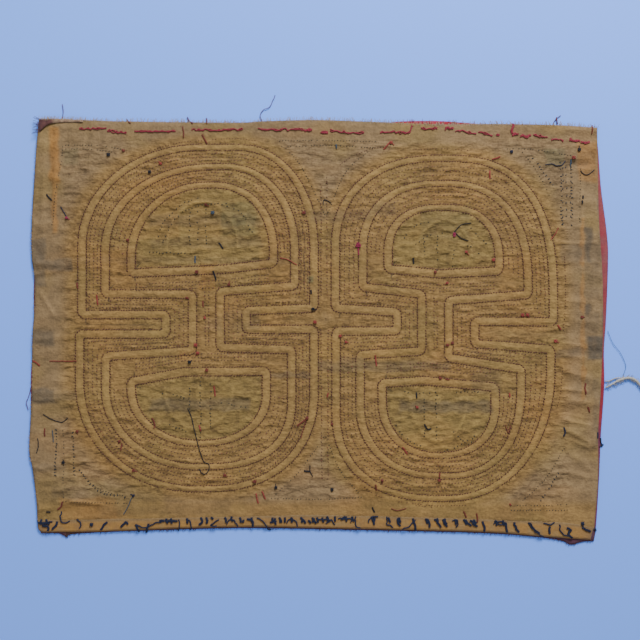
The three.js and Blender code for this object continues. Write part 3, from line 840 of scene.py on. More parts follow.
def sheet_piece(name, edges, steps, base, height_of, material):
    """A closed sheet on a flat underside. Its upper face follows height_of, a function of points."""
    across, up = steps
    grid = patch(edges, across, up)
    flat = grid.reshape(-1, 2)
    height, readings = height_of(flat)
    index = np.arange(flat.shape[0]).reshape(up + 1, across + 1)
    quads = np.stack([index[:-1, :-1], index[:-1, 1:], index[1:, 1:], index[1:, :-1]], -1).reshape(-1, 4)
    rim = np.concatenate([index[0, :-1], index[:-1, -1], index[-1, :0:-1], index[:0:-1, 0]])
    top = np.column_stack([flat, base + height])
    bottom = np.column_stack([flat[rim], np.full(len(rim), base)])
    low = len(flat) + np.arange(len(rim))
    walls = np.stack([low, np.roll(low, -1), np.roll(rim, -1), rim], -1)
    faces = [*quads.tolist(), *walls.tolist(), low[::-1].tolist()]
    readings = {key: np.concatenate([v, v[rim]]) for key, v in readings.items()}
    return mesh_piece(name, np.vstack([top, bottom]), faces, material, readings)


def threads_mesh(name, lines):
    """Lines of points in millimetres as one mesh of edges. Each line is points and whether it is closed."""
    points, edges, start = [], [], 0
    for line, closed in lines:
        count = len(line)
        points.append(line)
        edges += [(start + i, start + i + 1) for i in range(count - 1)]
        if closed:
            edges.append((start + count - 1, start))
        start += count
    mesh = bpy.data.meshes.new(name)
    mesh.from_pydata((np.vstack(points) * MM).tolist(), edges, [])
    return set_out(name, mesh)


def node_tree(name, sizes):
    """An empty tree of geometry nodes with a geometry in and out, and its named inputs."""
    tree = bpy.data.node_groups.new(name, "GeometryNodeTree")
    tree.interface.new_socket("Geometry", in_out="INPUT", socket_type="NodeSocketGeometry")
    tree.interface.new_socket("Geometry", in_out="OUTPUT", socket_type="NodeSocketGeometry")
    for key, kind in sizes.items():
        tree.interface.new_socket(key, in_out="INPUT", socket_type=kind)
    return tree, tree.nodes.new("NodeGroupInput").outputs


def add_node(tree, kind, settings=None, links=None, output=0):
    """Adds a node with its settings, and the values or links of its sockets. Gives one of its outputs."""
    made = tree.nodes.new(kind)
    for key, value in (settings or {}).items():
        setattr(made, key, value)
    for key, value in (links or {}).items():
        if isinstance(value, bpy.types.NodeSocket):
            tree.links.new(value, made.inputs[key])
        else:
            made.inputs[key].default_value = value
    return made.outputs[output] if made.outputs else None


FLOAT, MATERIAL, WHOLE = "NodeSocketFloat", "NodeSocketMaterial", "NodeSocketInt"
# A stitch's height beside its width, and how much its length varies
FLATNESS, SHORTEST, LONGEST = 0.6, 0.7, 1.25


def stitch_tree():
    """Short slanted stitches along lines, at a pitch, each a little different, with some left out."""
    sizes = {"Pitch": FLOAT, "Length": FLOAT, "Width": FLOAT, "Slant": FLOAT, "Shake": FLOAT, "Share": FLOAT,
             "Wander": FLOAT, "Seed": WHOLE, "Material": MATERIAL}
    tree, given = node_tree("stitches_along_lines", sizes)

    def maths(operation, a, b):
        return add_node(tree, "ShaderNodeMath", {"operation": operation}, {0: a, 1: b})

    def chance(kind, output, values):
        """A random value for each stitch."""
        return add_node(tree, "FunctionNodeRandomValue", {"data_type": kind}, {**values, "Seed": given["Seed"]}, output)

    points = along_lines(tree, given["Geometry"], given["Pitch"])
    tangent = add_node(tree, "GeometryNodeInputTangent")
    aligned = add_node(tree, "FunctionNodeAlignRotationToVector", {"axis": "X"}, {"Vector": tangent})
    turn = chance("FLOAT", 1, {2: maths("SUBTRACT", given["Slant"], given["Shake"]),
                               3: maths("ADD", given["Slant"], given["Shake"])})
    angles = add_node(tree, "ShaderNodeCombineXYZ", {}, {"Z": turn})
    euler = add_node(tree, "FunctionNodeEulerToRotation", {}, {0: angles})
    turned = add_node(tree, "FunctionNodeRotateRotation", {"rotation_space": "LOCAL"}, {0: aligned, 1: euler})
    ball = add_node(tree, "GeometryNodeMeshIcoSphere", {}, {"Radius": 0.5, "Subdivisions": 1})
    grow = chance("FLOAT", 1, {2: SHORTEST, 3: LONGEST})
    size = add_node(tree, "ShaderNodeCombineXYZ", {}, {"X": maths("MULTIPLY", given["Length"], grow),
                                                       "Y": given["Width"],
                                                       "Z": maths("MULTIPLY", given["Width"], FLATNESS)})
    kept = chance("BOOLEAN", 3, {"Probability": given["Share"]})
    placed = add_node(tree, "GeometryNodeInstanceOnPoints", {},
                      {"Points": points, "Selection": kept, "Instance": ball, "Rotation": turned, "Scale": size})
    drift = chance("FLOAT_VECTOR", 0, {0: (-1.0, -1.0, 0.0), 1: (1.0, 1.0, 0.0)})
    scaled = add_node(tree, "ShaderNodeVectorMath", {"operation": "SCALE"}, {0: drift, "Scale": given["Wander"]})
    moved = add_node(tree, "GeometryNodeTranslateInstances", {},
                     {"Instances": placed, "Translation": scaled, "Local Space": False})
    return finished(tree, moved, given["Material"])


def along_lines(tree, lines, step):
    """Points at an even step along lines of edges."""
    curve = add_node(tree, "GeometryNodeMeshToCurve", {}, {"Mesh": lines})
    return add_node(tree, "GeometryNodeResampleCurve", {"mode": "LENGTH"}, {"Curve": curve, "Length": step})


def finished(tree, made, material):
    """Ends a tree: its instances made real, smooth and given a material."""
    real = add_node(tree, "GeometryNodeRealizeInstances", {}, {"Geometry": made})
    smoothed = add_node(tree, "GeometryNodeSetShadeSmooth", {}, {"Geometry": real})
    painted = add_node(tree, "GeometryNodeSetMaterial", {}, {"Geometry": smoothed, "Material": material})
    add_node(tree, "NodeGroupOutput", {}, {"Geometry": painted})
    return tree


def tube_tree():
    """Thread along lines: a round section of a radius and a number of sides, with closed ends."""
    sizes = {"Radius": FLOAT, "Sides": WHOLE, "Step": FLOAT, "Material": MATERIAL}
    tree, given = node_tree("thread_along_lines", sizes)
    points = along_lines(tree, given["Geometry"], given["Step"])
    ring = add_node(tree, "GeometryNodeCurvePrimitiveCircle", {},
                    {"Resolution": given["Sides"], "Radius": given["Radius"]})
    tube = add_node(tree, "GeometryNodeCurveToMesh", {}, {"Curve": points, "Profile Curve": ring, "Fill Caps": True})
    return finished(tree, tube, given["Material"])


STITCHES, TUBES = stitch_tree(), tube_tree()


def made_by(tree, name, lines, sizes):
    """Runs a tree on lines and keeps the result as a plain mesh."""
    base = threads_mesh(f"{name}_lines", lines)
    modifier = base.modifiers.new("nodes", "NODES")
    modifier.node_group = tree
    sockets = {s.name: s.identifier for s in tree.interface.items_tree if s.in_out == "INPUT"}
    for key, value in sizes.items():
        modifier[sockets[key]] = value
    graph = bpy.context.evaluated_depsgraph_get()
    mesh = bpy.data.meshes.new_from_object(base.evaluated_get(graph))
    base.modifiers.remove(modifier)
    bpy.data.objects.remove(base)
    mesh.name = name
    return set_out(name, mesh)


def stitches(name, lines, lift, thread, length, width, pitch, slant, shake, share, wander, seed):
    sizes = {"Pitch": pitch * MM, "Length": length * MM, "Width": width * MM, "Slant": slant, "Shake": shake,
             "Share": share, "Wander": wander * MM, "Seed": seed, "Material": threads[thread]}
    return made_by(STITCHES, name, lay_on(lines, lift), sizes)


def tubes(name, lines, thread, radius, sides=6, step=0.8):
    sizes = {"Radius": radius * MM, "Sides": sides, "Step": step * MM, "Material": threads[thread]}
    return made_by(TUBES, name, lines, sizes)


def lay_on(lines, lift):
    """Flat lines as lines in space that lie on what is under them, and pass over its narrow dips."""
    joined = np.vstack([line for line, _ in lines])
    height = surface(joined) + lift
    made, start = [], 0
    for line, closed in lines:
        z = height[start:start + len(line)]
        padded = np.concatenate([z[:1], z, z[-1:]])
        z = np.maximum((padded[:-2] + 2 * padded[1:-1] + padded[2:]) / 4, z)
        made.append((np.column_stack([line, z]), closed))
        start += len(line)
    return made


def keep(piece, slot, *nodes):
    """Attaches a piece to the root body and hides the model's parts that it stands for. The slot is not used."""
    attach(piece, "root")
    if nodes:
        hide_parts(*nodes)
    return piece


# ---------------------------------------------------------------- the tie string

STRING_ROUTE = [(219.4, -42.5), (222.6, -40.8), (226, -38.9), (229.2, -37.2), (232.5, -35.9), (236, -35.2),
                (239.3, -35.5), (242.4, -37.2), (245, -39.7), (247.3, -42.4), (249.4, -45.4), (251.2, -48.7),
                (252.7, -52.1), (253.8, -55.7), (254.4, -59.4)]
FILAMENT = (608, 331, 613, 343, 620, 352, 625, 362, 626, 368, 623, 377)
SECOND_STRAND = (605, 381, 609, 381, 617, 378, 626, 378.5)
STRING_STEP, STRING_SIDES, STRING_TWIST = 0.5, 16, 7.5
# How much thinner the string gets at its free end and where it is sewn on, and over how many steps
FREE_END, SEWN_END = (0.35, 8), (0.42, 16)
SEWN_STEPS = 26
# How many fibres stand out from the string, and how many of them are at its frayed end
FIBRES, FRAYED_FIBRES = 130, 26


def on_floor(places, height):
    """A thread through places in the photograph at one height over the floor."""
    line = spline(at(places), 0.7)
    return [(np.column_stack([line, np.full(len(line), height)]), False)]


def string_fibres(path, side):
    """The lines of the fibres that stand out from the string."""
    fibres, rng = [], random.Random(4)
    for i in range(FIBRES):
        frayed = i < FRAYED_FIBRES
        k = rng.randrange(3, len(path) - 1)
        if frayed:
            k = len(path) - 2 - rng.randrange(6)
        out, ahead = side[k] * rng.choice((-1, 1)), np.array([side[k][1], -side[k][0]])
        lean = rng.uniform(1.5, 3.0) if frayed else rng.uniform(0.4, 1.4)
        long = rng.uniform(1.0, 3.2)
        start = path[k] + out * STRING_DIAMETER * 0.35
        tip = start + (out + ahead * lean) / math.hypot(1, lean) * long
        mid = (start + tip) / 2 + out * rng.uniform(0, 0.5)
        low = STRING_HEIGHT + rng.uniform(-0.4, 0.7)
        fibres.append((np.array([(*start, low), (*mid, max(low, 0.4)), (*tip, rng.uniform(0.2, 1.2))]), False))
    return fibres


def add_string():
    """Two strands twisted round each other, swept along the route."""
    path = spline(STRING_ROUTE, STRING_STEP)
    side = normals_of(path)
    points, faces = [], []
    for i, (place, left) in enumerate(zip(path, side)):
        turn = 2 * math.pi * i * STRING_STEP / STRING_TWIST
        thin = 1.0 - FREE_END[0] * smooth((i - len(path) + FREE_END[1]) / FREE_END[1])
        thin -= SEWN_END[0] * smooth((SEWN_STEPS - i) / SEWN_END[1])
        for k in range(STRING_SIDES):
            angle = 2 * math.pi * k / STRING_SIDES
            reach = STRING_DIAMETER / 2 * (0.80 + 0.24 * abs(math.cos(angle - turn))) * float(thin)
            points.append((*(place + left * math.cos(angle) * reach), STRING_HEIGHT + math.sin(angle) * reach))
    for i in range(len(path) - 1):
        for k in range(STRING_SIDES):
            a, b = i * STRING_SIDES + k, i * STRING_SIDES + (k + 1) % STRING_SIDES
            faces.append((a, a + STRING_SIDES, b + STRING_SIDES, b))
    last = (len(path) - 1) * STRING_SIDES
    faces += [list(range(STRING_SIDES)), [last + k for k in reversed(range(STRING_SIDES))]]
    string = mesh_piece("tie_string_twist", points, faces, threads["cream"])
    fuzz = tubes("string_fibres", string_fibres(path, side), "cream", 0.14, 3)
    filament = tubes("string_filament", on_floor(FILAMENT, 0.6), "slate", 0.15)
    strand = tubes("string_strand", on_floor(SECOND_STRAND, 0.9), "cream", 0.45)
    keep(string, "tie_string", "tie_string")
    for piece in (fuzz, strand, filament):
        keep(piece, "tie_string")
    route = [(x * MM, y * MM, STRING_HEIGHT * MM) for x, y in path]


add_string()

# ---------------------------------------------------------------- the cloths

BACKING_STEPS = (364, 260)
# Soft grey patches, which are real stains and also painted shade along the margins' folds: the lowest and highest
# corner in the photograph's pixels, and how strong
STAINS_AND_FOLD_SHADOWS = [
    (30, 238, 46, 286, 0.7), (30, 259, 72, 270, 0.65), (26, 331, 54, 345, 0.65), (24, 388, 56, 403, 0.75),
    (560, 244, 601, 263, 0.4), (584, 264, 600, 300, 0.3), (583, 312, 600, 334, 0.35), (584, 228, 591, 264, 0.8),
    (583, 303, 590, 317, 0.75), (587, 336, 603, 359, 1.0), (318, 361, 450, 371, 0.45), (270, 372, 312, 378, 0.5),
    (340, 358, 365, 372, 0.4), (150, 398, 250, 411, 0.5), (400, 400, 492, 412, 0.55), (40, 258, 300, 263, 0.18),
    (150, 238, 262, 248, 0.22), (54, 392, 76, 400, 0.35), (36, 464, 66, 470, 0.3), (592, 378, 598, 430, 0.35),
    (310, 210, 372, 222, 0.35), (372, 203, 396, 215, 0.3), (150, 215, 262, 226, 0.28), (225, 310, 260, 330, 0.22),
    (556, 348, 600, 357, 0.5), (205, 318, 222, 332, 0.3), (470, 370, 500, 392, 0.25), (52, 485, 110, 498, 0.25),
    (100, 505, 230, 515, 0.18),
]
WARM = [
    (60, 500, 560, 519, 0.08), (50, 127, 60, 182, 0.90), (52, 172, 58, 234, 0.65), (577, 143, 597, 182, 0.55),
    (580.5, 218, 584.5, 400, 0.55), (60, 497, 118, 520, 0.35), (200, 264, 216, 290, 0.35), (180, 350, 196, 360, 0.25),
    (524, 400, 548, 420, 0.3), (120, 180, 180, 240, 0.22), (90, 250, 130, 300, 0.18), (500, 250, 545, 330, 0.16),
    (260, 220, 290, 330, 0.18), (350, 440, 470, 505, 0.12),
]
# Darker grey-green patches: the lowest and highest corner in the photograph's pixels, and how strong
GREENS = [
    (308, 277, 313, 283, 0.7), (222, 203, 256, 236, 0.3), (420, 205, 470, 240, 0.2), (64, 150, 78, 165, 0.3),
    (545, 150, 562, 168, 0.4), (232, 215, 246, 232, 0.4),
]
# The patches of each reading, and the seed of their uneven edges
PATCHES = {"stain": (STAINS_AND_FOLD_SHADOWS, 21), "warm": (WARM, 31), "green": (GREENS, 41)}


def soft_patches(points, table, seed):
    """How strong the patches of a table are at each point, with uneven soft edges."""
    x, y = points[:, 0], points[:, 1]
    shake = 1.6 * soft_noise(x / 6, y / 6, seed)
    total = np.zeros(len(points))
    for left, top, right, bottom, strength in table:
        (x0, y1), (x1, y0) = at([(left, top), (right, bottom)])
        soft = min(3.0, (x1 - x0) / 3 + 0.5, (y1 - y0) / 3 + 0.5)
        gap = np.minimum(np.minimum(x - x0, x1 - x), np.minimum(y - y0, y1 - y)) + shake
        total = np.maximum(total, strength * smooth(gap / soft + 0.5))
    return total * (0.85 + 0.15 * soft_noise(x / 3, y / 3, seed + 1))


RIDGE_REACH, MOST_RIDGE = 3, 0.8


def relief_shading_of(height, across, up):
    """How far each point of a grid stands over the cloth around it, used as painted light and shade: raised places are
    painted lighter and hollows darker.
    """
    around, width = height.reshape(up + 1, across + 1), 2 * RIDGE_REACH + 1

    def spread(line):
        return np.convolve(np.pad(line, RIDGE_REACH, "edge"), np.full(width, 1 / width), "valid")

    for axis in (0, 1):
        around = np.apply_along_axis(spread, axis, around)
    return np.clip(height - around.ravel(), -MOST_RIDGE, MOST_RIDGE)


def backing_height(points):
    facts = cloth_facts(points)
    height = cloth_height(points, facts)
    readings = {key: value for key, value in facts.items() if key not in ("arch", "bar")}
    # Painted light and shade that follow the relief
    readings["ridge"] = relief_shading_of(height, *BACKING_STEPS)
    for key, (table, seed) in PATCHES.items():
        readings[key] = soft_patches(points, table, seed)
    return height, readings


def face_height(points):
    edge = rim_distance(points, face_rim)
    x, y = points[:, 0], points[:, 1]
    curl = short_of(edge, 4, 4) * (0.25 + 0.2 * soft_noise(x / 9, y / 9, 51))
    uneven = 3 * soft_noise(x / 4, y / 4, 52)
    readings = {
        "plum": short_of(y, -62, 22), "dark": short_of(y, -147 + uneven * 0.3, 2),
        "brown": short_of(x, -178, 3) * past(x, -196, 3) * short_of(y, -150, 2),
        "faded": past(x, 190, 8) * past(y, -30, 20) * (0.5 + 0.3 * soft_noise(x / 3, y / 5, 53)),
    }
    return FACE_TOP * (0.55 + 0.45 * smooth(edge / 1.2)) + curl * 0.3, readings


def binding_height(points):
    x, y = points[:, 0], points[:, 1]
    edge = rim_distance(points, binding_rim)
    from_sheet = rim_distance(points, backing_rim) * np.where(inside(points, backing_rim), 1, -1)
    upper = smooth(from_sheet + 2.0)
    roll = (0.45 + 0.9 * smooth(edge / 1.5)) * (1 - upper) + (0.95 + 0.29 * smooth(edge / 0.5)) * upper
    wrinkle = 0.16 * soft_noise(x / 3.4, y / 9, 61) + 0.14 * soft_noise(x / 10, y / 4, 62)
    worn = past(soft_noise(x / 6, y / 3, 63), 0.1, 0.6) * 0.6
    end = past(x, 198, 10) + short_of(x, -206, 6)
    readings = {"worn": worn, "end": end * 0.8, "sewn": past(from_sheet, -2.6, 3.2) * 0.85}
    return roll + wrinkle * smooth(edge / 2), readings


def flap_height(points):
    x, y = points[:, 0], points[:, 1]
    edge = rim_distance(points, flap_rim)
    return 0.45 + 0.4 * smooth(edge / 1.2) + 0.2 * soft_noise(x / 2, y / 2, 71), {
        "brown": past(x, -205, 4) * (0.7 + 0.3 * soft_noise(x / 2, y / 1.2, 72))}


RED_CLOTH = plain_cotton(
    "red_cotton", (0.30, 0.026, 0.030), (0.22, 0.016, 0.024),
    others={"plum": (0.16, 0.030, 0.050), "faded": (0.22, 0.080, 0.062), "dark": (0.090, 0.032, 0.042),
            "brown": (0.095, 0.042, 0.022)},
)
ORANGE_CLOTH = plain_cotton(
    "orange_cotton", (0.330, 0.170, 0.036), (0.260, 0.138, 0.040),
    others={"worn": (0.27, 0.165, 0.055), "end": (0.20, 0.115, 0.042), "sewn": OCHRE_MARGIN},
)
MAROON_CLOTH = plain_cotton(
    "maroon_cotton", (0.075, 0.028, 0.022), (0.115, 0.045, 0.030), size=3.0, others={"brown": (0.33, 0.215, 0.110)}
)

backing = sheet_piece("backing_sheet", BACKING_EDGES, BACKING_STEPS, BACKING_BASE, backing_height, backing_finish())
face = sheet_piece("face_sheet", FACE_EDGES, (220, 160), 0.0, face_height, RED_CLOTH)
binding = sheet_piece("binding_strip", BINDING_EDGES, (420, 20), BACKING_BASE, binding_height, ORANGE_CLOTH)
corner_flap = sheet_piece("turned_corner", FLAP_EDGES, (60, 14), FLAP_BASE, flap_height, MAROON_CLOTH)
for sheet, node in ((backing, "backing_cloth"), (face, "face_cloth"), (binding, "edge_binding"),
                    (corner_flap, "corner_flap")):
    keep(sheet, node, node)

# ---------------------------------------------------------------- the needlework

band_pairs = [(beside(line, side * STITCH_LINE), True) for line in band_lines for side in (-1, 1)]
row_lines = [(spaced(line, ROW_STEP, closed), closed) for line, closed in strip_rows]

NEEDLEWORK = [
    # piece, lines, lift over the cloth, thread, length, width, pitch, slant and its shake, share kept, wander, seed
    ("band_stitches", band_pairs, 0.24, "rust", 1.8, 0.98, STITCH_PITCH, 0.4, 0.35, 0.93, 0.26, 1),
    ("strip_stitches", row_lines, 0.08, "umber", 1.6, 0.78, 2.5, 0.45, 0.4, 0.88, 0.25, 2),
    ("strip_ticks", row_lines, 0.10, "brick", 1.3, 0.66, 3.4, 1.2, 0.5, 0.30, 0.5, 5),
    ("filler_stitches", filler_lines, 0.12, "olive", 1.2, 0.70, 2.2, 0.45, 0.3, 0.85, 0.25, 3),
    ("ladder_stitches", ladder_lines, 0.14, "slate", 1.9, 0.85, 2.6, 1.1, 0.7, 0.85, 0.5, 7),
    ("loose_row_stitches", loose_lines, 0.12, "rust", 1.3, 0.62, 2.1, 0.45, 0.3, 0.85, 0.15, 6),
    ("motif_stitches", motif_rows, 0.16, "olive", 1.35, 0.95, 2.6, 0.45, 0.3, 0.8, 0.6, 4),
]
needlework = [stitches(*row) for row in NEEDLEWORK]

# Loose threads, by colour: each is a line of places in the photograph, x and y in turn, or one place for a knot
TAILS = {
    "black": [
        (109, 155), (150, 172), (47, 195, 52, 201), (219, 243, 223, 249), (213, 271, 216, 280),
        (323, 205, 324, 200, 327, 201, 331, 203), (413, 258, 413, 264), (578.6, 150),
        (580, 171, 584, 175, 589, 174, 594, 170), (582, 196, 582, 199), (581, 201, 581, 204),
        (454, 232, 461, 225, 471, 223), (454, 232, 460, 238, 468, 241), (44, 414, 50, 418, 57, 421, 62, 422, 68, 418),
        (190, 362), (188, 408, 192, 418, 196, 435, 200, 450, 204, 461, 209, 464, 209, 470, 204, 474, 199, 469),
        (310, 465, 310, 471, 313, 476), (310, 471, 304, 470), (276, 487), (332, 489), (416, 393, 416, 398),
        (424, 424, 427, 429, 431, 429), (47, 512, 51, 512), (64, 462), (38, 438, 39, 445, 37, 453),
        (372, 507, 374, 512), (313, 309), (311, 290, 311, 294),
    ],
    "navy": [
        (545, 165, 551, 164, 556, 166, 562, 165, 565, 161), (563, 427, 564, 431, 563, 436), (597, 432, 597, 438),
        (600, 438, 602, 447), (600, 447, 604, 445), (511, 152), (134, 495), (61, 207, 67, 217),
    ],
    "blue": [
        (213, 213), (195, 256, 195, 263), (336, 145, 336, 149), (134, 496, 132, 498, 129, 505, 124, 514),
        (53, 430, 54, 442), (570, 160, 570, 166),
    ],
    "red": [
        (161, 164), (97, 295, 98, 305), (280, 258, 288, 260, 297, 265), (205, 318), (196, 345), (198, 353),
        (214, 386, 215, 396), (50, 361, 60, 361, 77, 361), (33, 361, 37, 363, 40, 366), (447, 283),
        (384, 150, 387, 146, 390, 143), (492, 160, 496, 159, 500, 157), (489, 171, 489, 179),
        (550, 240, 554, 235, 558, 228), (573, 158), (375, 355, 376, 366), (340, 336), (346, 342),
        (328, 393, 327, 397), (417, 407), (402, 447, 407, 454), (509, 503, 510, 505), (555, 341),
        (557, 325, 560, 330), (256, 493, 258, 503), (262, 491, 265, 499), (522, 315), (527, 315), (466, 252),
        (199, 425, 201, 431), (493, 260), (509, 393, 509, 397), (315, 322), (391, 143),
    ],
    "crimson": [
        (124, 151), (206, 205), (304, 213), (229, 285), (197, 272), (435, 272), (45, 428, 45, 436), (120, 441),
        (122, 443, 121, 450), (134, 470), (225, 475), (255, 481), (307, 418), (306, 419, 297, 425),
        (306, 419, 301, 438), (332, 424), (447, 345), (452, 343), (440, 378), (445, 379, 449, 380),
        (505, 425, 508, 433, 510, 425), (382, 480), (375, 484, 376, 490), (439, 480), (439, 472, 439, 478),
        (391, 508, 397, 510, 406, 508), (463, 511, 466, 517), (476, 513, 477, 522), (585, 383, 584, 388, 585, 394),
        (587, 407, 589, 412), (78, 431), (152, 418, 155, 424, 154, 428), (207, 370), (203, 301, 203, 307), (187, 298),
        (77, 283, 78, 289), (128, 240), (581, 317), (202, 135, 207, 144), (63, 501, 62, 505, 58, 509),
    ],
    "magenta": [
        (358, 244), (357, 246), (359, 246), (358, 247, 358, 255), (454, 234), (67, 218), (454, 236),
    ],
}
# The running stitch along the top, its stray ends, and the stitches along the binding
RUNNING = [
    (80, 128.5, 95, 129, 107, 129), (108, 131, 127, 133.5), (135, 131.5, 155, 132, 176, 131.5),
    (192, 130, 215, 130.5, 243, 130), (258, 129.5, 280, 130, 305, 129.5), (305, 131, 312, 131), (321, 133, 328, 133),
    (330, 131, 345, 132.5, 364, 133), (380, 133, 395, 132.5, 408, 133, 412, 126), (421, 129, 437, 129),
    (445, 129, 453, 129), (455, 131, 476, 134), (478, 132, 492, 136), (496, 137, 499, 137), (512, 135, 518, 135),
    (513, 124, 511, 130, 511, 134), (520, 137, 530, 137), (533, 135, 547, 138), (551, 139, 563, 141),
    (569, 140, 579, 142), (580, 143, 589, 143),
]
STRAY = [
    (126, 119, 131, 124), (183, 127, 184, 138), (187, 117, 189, 121, 193, 124), (206, 118, 207, 124),
    (262, 121, 260, 115, 263, 110, 270, 106, 275, 95), (553, 124, 556, 119, 561, 115), (558, 124, 557, 117),
    (592, 125, 591, 134), (62, 104, 63, 112, 62, 119), (28, 410, 26, 403, 29, 395, 31, 387),
]
BINDING_STITCHES = [
    (37, 521, 45, 522, 53, 521), (43, 525, 48, 527, 48, 530), (53, 529, 57, 525, 58, 521),
    (62, 511, 61, 518, 63, 522, 66, 523, 70, 520), (77, 519, 81, 522, 82, 525, 80, 528), (92, 524),
    (102, 530, 104, 525, 107, 523, 108, 522), (122, 527, 126, 522, 128, 524), (136, 524, 138, 532),
    (136, 524, 146, 527, 157, 522, 162, 522), (148, 523, 146, 533), (160, 520, 165, 521), (167, 521, 178, 521),
    (179, 519, 180, 524, 178, 531), (189, 519, 192, 525, 190, 530), (201, 517, 202, 521, 199, 524),
    (207, 519, 207, 523), (211, 517, 213, 519), (219, 519, 211, 525, 217, 526),
    (227, 524, 229, 519, 233, 519, 236, 522, 238, 526), (243, 519, 243, 522), (247, 519, 252, 520, 253, 526),
    (257, 518, 262, 520, 265, 524, 268, 529, 271, 530), (271, 523, 276, 518), (275, 520, 276, 524),
    (281, 519, 281, 522), (287, 523, 289, 519, 294, 519, 297, 523, 298, 526), (302, 519, 305, 523),
    (308, 520, 310, 523), (313, 518, 316, 523), (318, 519, 332, 519), (326, 523, 331, 520, 335, 524),
    (338, 518, 350, 518, 351, 522), (342, 520, 345, 516), (356, 516, 355, 523, 358, 527, 360, 528),
    (368, 522, 370, 518, 374, 516, 378, 516), (374, 517, 373, 524), (387, 516, 387, 524, 390, 525, 393, 527),
    (398, 517, 397, 522, 399, 526), (402, 529, 408, 526, 413, 522, 415, 519), (413, 520, 415, 526, 415, 530),
    (425, 519, 428, 521, 429, 527), (434, 519, 437, 522, 440, 527), (442, 519, 444, 523, 447, 526),
    (443, 522, 446, 524), (452, 520, 457, 520, 458, 524, 456, 527), (463, 519, 466, 523), (466, 521, 470, 526),
    (470, 520, 473, 524, 477, 526), (472, 521, 476, 523), (482, 521, 483, 526, 484, 531),
    (493, 523, 499, 521, 506, 523), (494, 521, 500, 524, 505, 522), (505, 523, 506, 532),
    (513, 522, 515, 527, 518, 532), (528, 522, 532, 528, 538, 534, 543, 537), (529, 522, 533, 528, 539, 533),
    (543, 523, 548, 524, 551, 524, 554, 522), (549, 526, 548, 533), (559, 524, 560, 531, 563, 534, 568, 536),
    (566, 528, 571, 530), (570, 530, 568, 533, 571, 538), (582, 523), (581, 528, 585, 530, 590, 531),
    (594, 529, 596, 531), (41, 519, 42, 524), (47, 519, 47, 523), (39, 523, 50, 524),
]
# Short upright stitches over the binding's upper edge, by where they start
UPRIGHTS = [
    (166, 518), (171, 518), (186, 518), (206, 517), (225, 517), (231, 516), (240, 517), (251, 517), (272, 517),
    (279, 517), (284, 517), (291, 517), (301, 517), (312, 517), (317, 517), (322, 517), (327, 516), (334, 516),
    (345, 516), (352, 516), (371, 516), (388, 517), (399, 517), (412, 518), (426, 518), (436, 518), (444, 518),
    (454, 519), (465, 519), (473, 519), (495, 520), (502, 520),
]
binding_routes = BINDING_STITCHES + [(x, y, x + 1, y + 5) for x, y in UPRIGHTS]

# Threads with fewer points than this are short ends, which lie doubled
DOUBLED = 14
KNOT_REACH = 0.9


def loose(name, thread, routes, radius=0.33, lift=0.25, shake=0.22, seed=1):
    """Threads that lie on the panel: a route of several places is a thread, a route of one is a knot."""
    rng = random.Random(seed)
    lines, rises = [], []
    for route in routes:
        places = at(route)
        if len(places) > 1:
            line = spline(places, 0.7)
            drift = soft_noise(np.arange(len(line)) / 2.5, np.full(len(line), rng.uniform(0, 99)), 9)
            line = line + normals_of(line) * (shake * drift)[:, None]
            rise = lift + 0.2 * np.sin(np.linspace(0, math.pi, len(line)))
        else:
            reach, turn = KNOT_REACH * rng.uniform(0.75, 1.2), np.linspace(0, 17, 46) + rng.uniform(0, 6)
            line = places + reach * np.stack([np.sin(turn), np.sin(1.62 * turn + 1)], 1)
            rise = lift + reach * (0.45 + 0.4 * np.sin(2.3 * turn))
            way = rng.uniform(0, 2 * math.pi)
            run = np.linspace(0, rng.uniform(1.4, 3.0), 6)[:, None]
            tail = places + np.array([[math.cos(way), math.sin(way)]]) * run
            lines.append((tail, False))
            rises.append(np.linspace(lift + reach / 2, lift, 6))
        lines.append((line, False))
        rises.append(rise)
        if 1 < len(places) and len(line) < DOUBLED:
            lines.append((line + normals_of(line) * radius * 1.4, False))
            rises.append(rise + 0.1)
    made = [
        (np.column_stack([line[:, :2], line[:, 2] + rise]), False)
        for (line, _), rise in zip(lay_on(lines, 0.0), rises)
    ]
    return tubes(name, made, thread, radius, 5, 0.6)


needlework += [loose(f"{colour}_tails", colour, routes, seed=i) for i, (colour, routes) in enumerate(TAILS.items())]
needlework += [
    loose("running_stitch", "scarlet", RUNNING, radius=0.42, lift=0.3, shake=1.2),
    loose("running_strand", "scarlet", RUNNING, radius=0.34, lift=0.4, shake=1.4, seed=2),
    loose("stray_ends", "crimson", STRAY, radius=0.27, lift=0.5),
]
for piece in needlework:
    keep(piece, "backing_cloth")
binding_threads = loose("binding_stitches", "navy", binding_routes, radius=0.50, lift=0.4, shake=0.6)
keep(binding_threads, "edge_binding")


def fuzz(name, thread, edges, side, count, longest, height, seed):
    """Fibres that stand out from a cut edge."""
    line, rng = spline(edges[side], 0.5), random.Random(seed)
    out, fibres = -normals_of(line), []
    for _ in range(count):
        k = rng.randrange(len(line))
        ahead = np.array([out[k][1], -out[k][0]]) * rng.uniform(-0.7, 0.7)
        reach = rng.uniform(0.3, 1.0) ** 2 * longest
        start = line[k] - out[k] * rng.uniform(0.2, 1.6)
        tip = line[k] + (out[k] + ahead) * reach
        fibres.append((np.array([(*start, height + 0.3), (*(start + tip) / 2, height + 0.5), (*tip, height)]), False))
    return tubes(name, fibres, thread, 0.15, 3, 0.8)


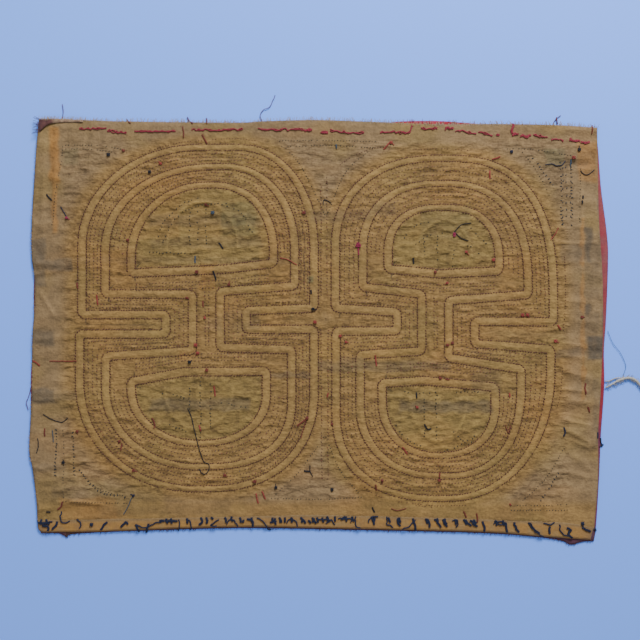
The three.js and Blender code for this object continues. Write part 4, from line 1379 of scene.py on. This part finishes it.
EDGE_FIBRES = [
    # piece, thread, edges and side of the cloth, how many, the longest, height, seed, slot
    ("top_fibres", "straw", BACKING_EDGES, "top", 900, 3.0, 2.2, 81, "backing_cloth"),
    ("side_fibres", "straw", BACKING_EDGES, "left", 160, 1.4, 2.0, 82, "backing_cloth"),
    ("red_fibres", "scarlet", FACE_EDGES, "top", 240, 1.8, 0.8, 83, "face_cloth"),
    ("rim_fibres", "plum", FACE_EDGES, "bottom", 420, 1.5, 0.8, 85, "face_cloth"),
    ("corner_fibres", "plum", FLAP_EDGES, "left", 34, 5.5, 3.4, 84, "corner_flap"),
    ("corner_frays", "straw", FLAP_EDGES, "top", 60, 2.4, 3.4, 86, "corner_flap"),
]
fibres = {row[0]: keep(fuzz(*row[:-1]), row[-1]) for row in EDGE_FIBRES}

# ---------------------------------------------------------------- floor and light

FLOOR_BLUE, FLOOR_PALE = (0.190, 0.400, 1.0), (0.200, 0.415, 1.0)
FLOOR_REACH, FLOOR_LEVEL = 4.0, -0.0002


def add_floor():
    f = Finish("pale_table", roughness=0.75)
    f.finish(f.blend(FLOOR_BLUE, FLOOR_PALE, f.noise(260, 2.0)))
    mesh = bpy.data.meshes.new("floor")
    corners = [(x * FLOOR_REACH, y * FLOOR_REACH, 0) for x, y in ((-1, -1), (1, -1), (1, 1), (-1, 1))]
    mesh.from_pydata(corners, [], [(0, 1, 2, 3)])
    mesh.materials.append(f.material)
    floor = set_out("floor", mesh)
    floor.location.z = FLOOR_LEVEL


def add_light(name, place, size, energy, colour):
    data = bpy.data.lights.new(name, "AREA")
    data.shape, data.size, data.energy, data.color = "DISK", size, energy, colour
    light = set_out(name, data)
    light.location = place
    light.rotation_mode = "QUATERNION"
    light.rotation_quaternion = (-Vector(place)).to_track_quat("-Z", "Y")


def add_room(colour, strength):
    world = bpy.data.worlds.new("room")
    world.use_nodes = True
    background = world.node_tree.nodes["Background"].inputs
    background["Color"].default_value = (*colour, 1.0)
    background["Strength"].default_value = strength
    bpy.context.scene.world = world


DAYLIGHT = (1.0, 1.05, 1.30)
add_floor()
add_light("window", (0.35, 1.15, 0.90), 0.50, 31.0, DAYLIGHT)
add_light("fill", (-0.9, -0.7, 1.3), 1.4, 4.0, DAYLIGHT)
add_room(DAYLIGHT, 0.36)
